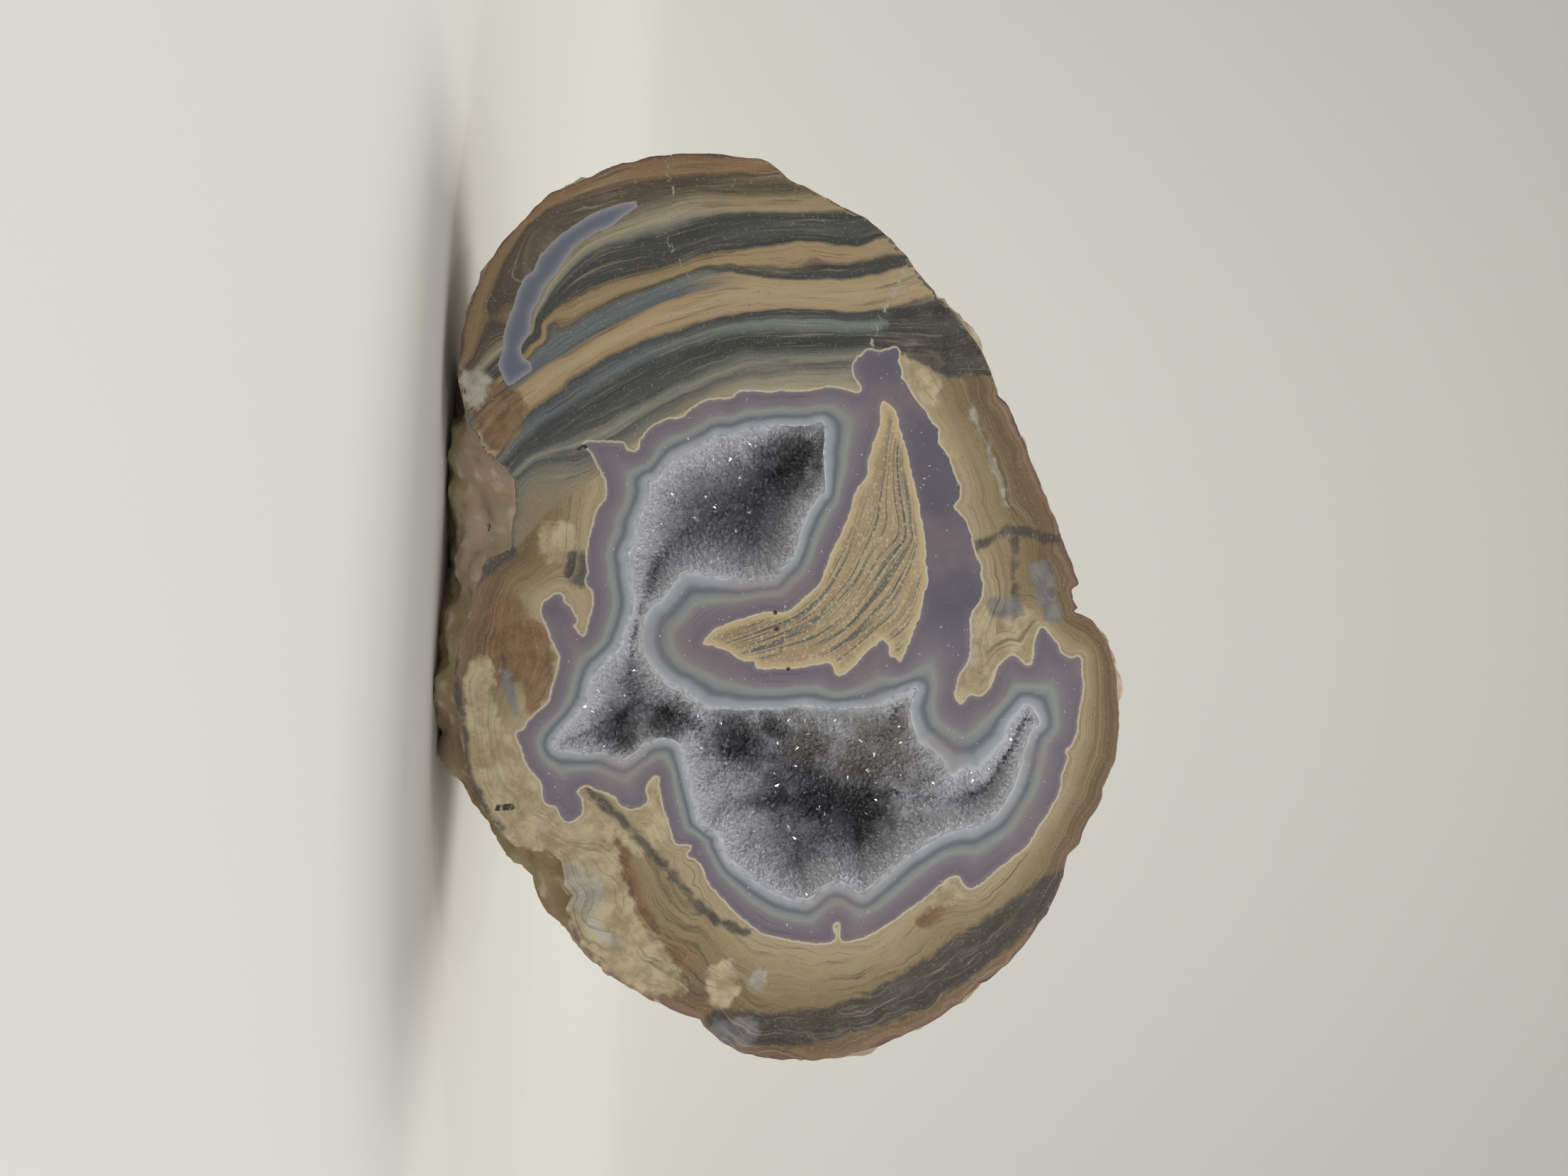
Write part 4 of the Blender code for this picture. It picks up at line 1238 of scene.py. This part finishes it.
def quartz_points(corners, settings):
    """The points and triangles of quartz crystals scattered over triangles given by corners."""
    normals = np.cross(corners[:, 1] - corners[:, 0], corners[:, 2] - corners[:, 0])
    areas = np.linalg.norm(normals, axis=1)
    normals *= np.where(normals[:, 1] > 0, -1, 1)[:, None] / areas[:, None]
    chance = np.random.default_rng(CRYSTAL_SEED)
    count = min(int(areas.sum() / 2 * settings.crystals_per_area), MOST_CRYSTALS)
    picked = chance.choice(len(areas), count, p=areas / areas.sum())
    shares = chance.dirichlet((1, 1, 1), count)
    centres = (corners[picked] * shares[:, :, None]).sum(axis=1)
    axes = unit(normals[picked] + chance.normal(0, CRYSTAL_LEAN, (count, 3)))
    side = unit(np.cross(axes, CRYSTAL_SIDE))
    other = np.cross(axes, side)
    width = settings.crystal_size / MM * chance.uniform(*CRYSTAL_WIDTHS, count)
    width = np.minimum(width, ROOM_SHARE * centres[:, 1] + LEAST_WIDTH)[:, None]
    turns = chance.uniform(0, math.tau, count)[:, None] + np.arange(SIDES) * math.tau / SIDES
    ring = np.cos(turns)[:, :, None] * side[:, None] + np.sin(turns)[:, :, None] * other[:, None]
    ring = centres[:, None] + width[:, None] / 2 * ring
    ends = np.stack([centres + axes * width * TIP, centres - axes * width * ROOT], axis=1)
    crystals = np.concatenate([ends, ring], axis=1)
    crystals[:, :, 1] = np.maximum(crystals[:, :, 1], CRYSTAL_FRONT)
    around = [(2 + i, 2 + (i + 1) % SIDES) for i in range(SIDES)]
    one = np.array([(0, a, b) for a, b in around] + [(1, b, a) for a, b in around])
    faces = one + np.arange(count)[:, None, None] * (2 + SIDES)
    return crystals.reshape(-1, 3), faces.reshape(-1, 3)


def spot_field(points, spots):
    """1 in the middle of the nearest round spot, 0 at its edge and less outside it."""
    gaps = [
        np.hypot(*(points[:, [0, 2]] - on_face([place])[0]).T) / radius for place, radius in spots
    ]
    return 1.0 - np.min(gaps, axis=0)


def build_crust(settings):
    """The druse: a closed crust in the stone's hollow, and quartz points all over its front."""
    edge = Pattern(Rind(), DRUSE_OUTLINE_STEP).hollow
    rim = even_steps(edge, DRUSE_RIM_STEP, True)
    inner = honeycomb(rim, DRUSE_CELLS, DRUSE_JITTER)
    inner = inner[depth_inside(inner, rim) > DRUSE_CELLS * DRUSE_MARGIN]
    flat, triangles = triangulated([rim], inner)
    bumps = np.array([
        sum(share * knob(Vector((x, layer, z)), size) for size, layer, share in DRUSE_KNOBS)
        for x, z in flat
    ])
    bare = hollow_depth(flat, edge)
    relief = DRUSE_RELIEF * bumps * np.clip(bare / FULL_RELIEF_DEPTH, 0, 1)
    depths = np.maximum(bare - LINING - relief, DRUSE_FRONT)
    front = sheet_at(flat, depths)
    back = sheet_at(flat, np.maximum(bare - DRUSE_BACK, depths + DRUSE_THICKNESS))
    crystals, crystal_faces = quartz_points(front[triangles], settings)
    loop = boundary_loops(triangles)[0]
    sides = band(loop, loop + len(flat))[:, ::-1]
    behind = triangles[:, ::-1] + len(flat)
    faces = np.vstack([triangles, behind, sides, crystal_faces + 2 * len(flat)])
    points = np.vstack([front, back, crystals])
    fields = {"depth": points[:, 1]}
    for name, spots, _ in SPOTS:
        fields[name] = spot_field(points, spots)
    kinds = np.zeros(len(faces), int)
    return make_piece("crystal_crust_dressed", points, faces, [druse_finish(settings)], kinds, fields)


class StoneSettings(bpy.types.PropertyGroup):
    face_spacing: bpy.props.FloatProperty(
        name="Face spacing", description="Between points of the polished face",
        default=0.5 * MM, unit="LENGTH", precision=5,
    )
    outline_step: bpy.props.FloatProperty(
        name="Outline step", description="Between points of the traced outlines",
        default=0.35 * MM, unit="LENGTH", precision=5,
    )
    rind_spacing: bpy.props.FloatProperty(
        name="Rind spacing", description="Between points of the rough rind",
        default=0.85 * MM, unit="LENGTH", precision=5,
    )


class CrustSettings(bpy.types.PropertyGroup):
    crystal_size: bpy.props.FloatProperty(
        name="Crystal size", description="Width of a common quartz point",
        default=0.75 * MM, unit="LENGTH", precision=5,
    )
    crystals_per_area: bpy.props.FloatProperty(
        name="Crystals", description="Quartz points to a square millimetre", default=4.0,
    )
    clearness: bpy.props.FloatProperty(
        name="Clearness", description="Share of the light that passes into the quartz",
        default=0.2, min=0.0, max=1.0, subtype="FACTOR",
    )
    fringe_colour: bpy.props.FloatVectorProperty(
        name="Fringe", description="Druse at the hollow's edge",
        subtype="COLOR", default=rgb("#d6d5dc")[:3],
    )
    # The floor colour is painted shade: the druse is darkened there for the shade at the back of the
    # hollow.
    shaded_floor_colour: bpy.props.FloatVectorProperty(
        name="Floor", description="Druse at the back of the hollow",
        subtype="COLOR", default=rgb("#6e6b75")[:3],
    )


class StageSettings(bpy.types.PropertyGroup):
    paper: bpy.props.FloatVectorProperty(
        name="Paper", description="Floor and backdrop",
        subtype="COLOR", default=rgb("#dcdad2")[:3],
    )
    overhead: bpy.props.FloatProperty(
        name="Overhead light", description="Power of the big soft light above and behind the stone",
        default=4.2, unit="POWER",
    )
    front: bpy.props.FloatProperty(
        name="Front light", description="Power of the weak soft light beside the camera",
        default=1.9, unit="POWER",
    )


class GEODE_OT_stone(bpy.types.Operator):
    """Builds the rhyolite with its chalcedony core, polished in front and rough behind"""

    bl_idname = "geode.build_stone"
    bl_label = "Build the stone"

    def execute(self, context):
        stone = build_stone(context.scene.geode_stone)
        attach(stone, "root")
        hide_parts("stone")
        return {"FINISHED"}


class GEODE_OT_crust(bpy.types.Operator):
    """Builds the drusy quartz that lines the hollow"""

    bl_idname = "geode.build_crust"
    bl_label = "Build the crystal crust"

    def execute(self, context):
        crust = build_crust(context.scene.geode_crust)
        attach(crust, "root")
        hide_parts("crystal_crust")
        return {"FINISHED"}


# The stage, in metres. The paper lies flat, sweeps up in a quarter circle and stands.
PAPER_SIDE = 3.0
PAPER_FRONT = -3.0
SWEEP_START = 0.6
SWEEP_RADIUS = 0.5
SWEEP_STEPS = 12
PAPER_TOP = 3.0
PAPER_ROUGHNESS = 0.9

# Each light's place, what it points at, its size and its colour.
STONE_MIDDLE = (0.0, 0.0, 0.05)
OVERHEAD = ((0.0, 0.42, 0.8), (0.0, 0.3, 0.0), 0.5, (1.0, 0.99, 0.97))
FRONT = ((0.25, -0.8, 0.6), STONE_MIDDLE, 0.8, (0.96, 0.98, 1.0))
SPARKLE_PLACES = ((0.1, -0.5, 0.5), (-0.2, -0.45, 0.35), (0.25, -0.4, 0.2))
SPARKLE_SIZE = 0.012
SPARKLE_POWER = 0.22
WHITE = (1.0, 1.0, 1.0)
ROOM_COLOUR = (0.8, 0.8, 0.78, 1.0)
ROOM_STRENGTH = 0.5


def add_paper(settings):
    """The floor, which sweeps up into a backdrop."""
    profile_line = [(PAPER_FRONT, 0.0), (SWEEP_START, 0.0)]
    for i in range(1, SWEEP_STEPS + 1):
        bend = i / SWEEP_STEPS * math.pi / 2
        y = SWEEP_START + SWEEP_RADIUS * math.sin(bend)
        profile_line.append((y, SWEEP_RADIUS - SWEEP_RADIUS * math.cos(bend)))
    profile_line.append((SWEEP_START + SWEEP_RADIUS, PAPER_TOP))
    places = [(x, y, z) for y, z in profile_line for x in (-PAPER_SIDE, PAPER_SIDE)]
    faces = [(2 * i, 2 * i + 1, 2 * i + 3, 2 * i + 2) for i in range(len(profile_line) - 1)]
    mesh = bpy.data.meshes.new("backdrop")
    mesh.from_pydata(places, [], faces)
    mesh.shade_smooth()
    mesh.materials.append(Nodes("paper").finish((*settings.paper, 1.0), PAPER_ROUGHNESS))
    return placed("backdrop", mesh)


def add_light(name, power, place, target, size, colour):
    light = bpy.data.lights.new(name, "AREA")
    light.size = size
    light.energy = power
    light.color = colour
    made = placed(name, light)
    made.location = place
    made.rotation_euler = (Vector(target) - Vector(place)).to_track_quat("-Z", "Y").to_euler()


def add_room():
    """Weak even light from all round."""
    world = bpy.data.worlds.new("room")
    world.use_nodes = True
    background = world.node_tree.nodes["Background"]
    background.inputs["Color"].default_value = ROOM_COLOUR
    background.inputs["Strength"].default_value = ROOM_STRENGTH
    bpy.context.scene.world = world


def add_camera():
    """The camera, which looks straight at the face with its up side to the picture's right."""
    camera = bpy.data.cameras.new("camera")
    camera.lens = LENS / MM
    camera.sensor_width = SENSOR / MM
    made = placed("camera", camera)
    roll_x, roll_z = math.sin(FACE_ROLL), math.cos(FACE_ROLL)
    axes = ((-roll_x, 0.0, roll_z), (-roll_z, 0.0, -roll_x), (0.0, -1.0, 0.0))
    made.matrix_world = Matrix.Translation(CAMERA_PLACE) @ Matrix(axes).transposed().to_4x4()
    bpy.context.scene.camera = made


class GEODE_OT_stage(bpy.types.Operator):
    """Sets the floor that sweeps up into a backdrop, the soft lights and the camera"""

    bl_idname = "geode.set_stage"
    bl_label = "Set the stage"

    def execute(self, context):
        settings = context.scene.geode_stage
        add_paper(settings)
        add_light("overhead", settings.overhead, *OVERHEAD)
        add_light("front", settings.front, *FRONT)
        for number, place in enumerate(SPARKLE_PLACES):
            add_light(f"sparkle_{number}", SPARKLE_POWER, place, STONE_MIDDLE, SPARKLE_SIZE, WHITE)
        add_room()
        add_camera()
        context.scene.view_settings.view_transform = "Standard"
        return {"FINISHED"}


class GEODE_PT_panel(bpy.types.Panel):
    """Lists the geode's pieces, their sizes and their colours"""

    bl_label = "Dugway Geode"
    bl_space_type = "VIEW_3D"
    bl_region_type = "UI"
    bl_category = "Geode"

    def draw(self, context):
        for group, _, operator in GROUPS:
            box = self.layout.box()
            settings = getattr(context.scene, group)
            for name in settings.__annotations__:
                box.prop(settings, name)
            box.operator(operator.bl_idname)


GROUPS = (
    ("geode_stone", StoneSettings, GEODE_OT_stone),
    ("geode_crust", CrustSettings, GEODE_OT_crust),
    ("geode_stage", StageSettings, GEODE_OT_stage),
)
CLASSES = (
    StoneSettings, CrustSettings, StageSettings,
    GEODE_OT_stone, GEODE_OT_crust, GEODE_OT_stage, GEODE_PT_panel,
)


def register():
    for made in CLASSES:
        bpy.utils.register_class(made)
    for name, settings, _ in GROUPS:
        setattr(bpy.types.Scene, name, bpy.props.PointerProperty(type=settings))


def unregister():
    for name, _, _ in GROUPS:
        delattr(bpy.types.Scene, name)
    for made in reversed(CLASSES):
        bpy.utils.unregister_class(made)


def main():
    register()
    bpy.ops.geode.build_stone()
    bpy.ops.geode.build_crust()
    bpy.ops.geode.set_stage()


if __name__ == "__main__":
    main()
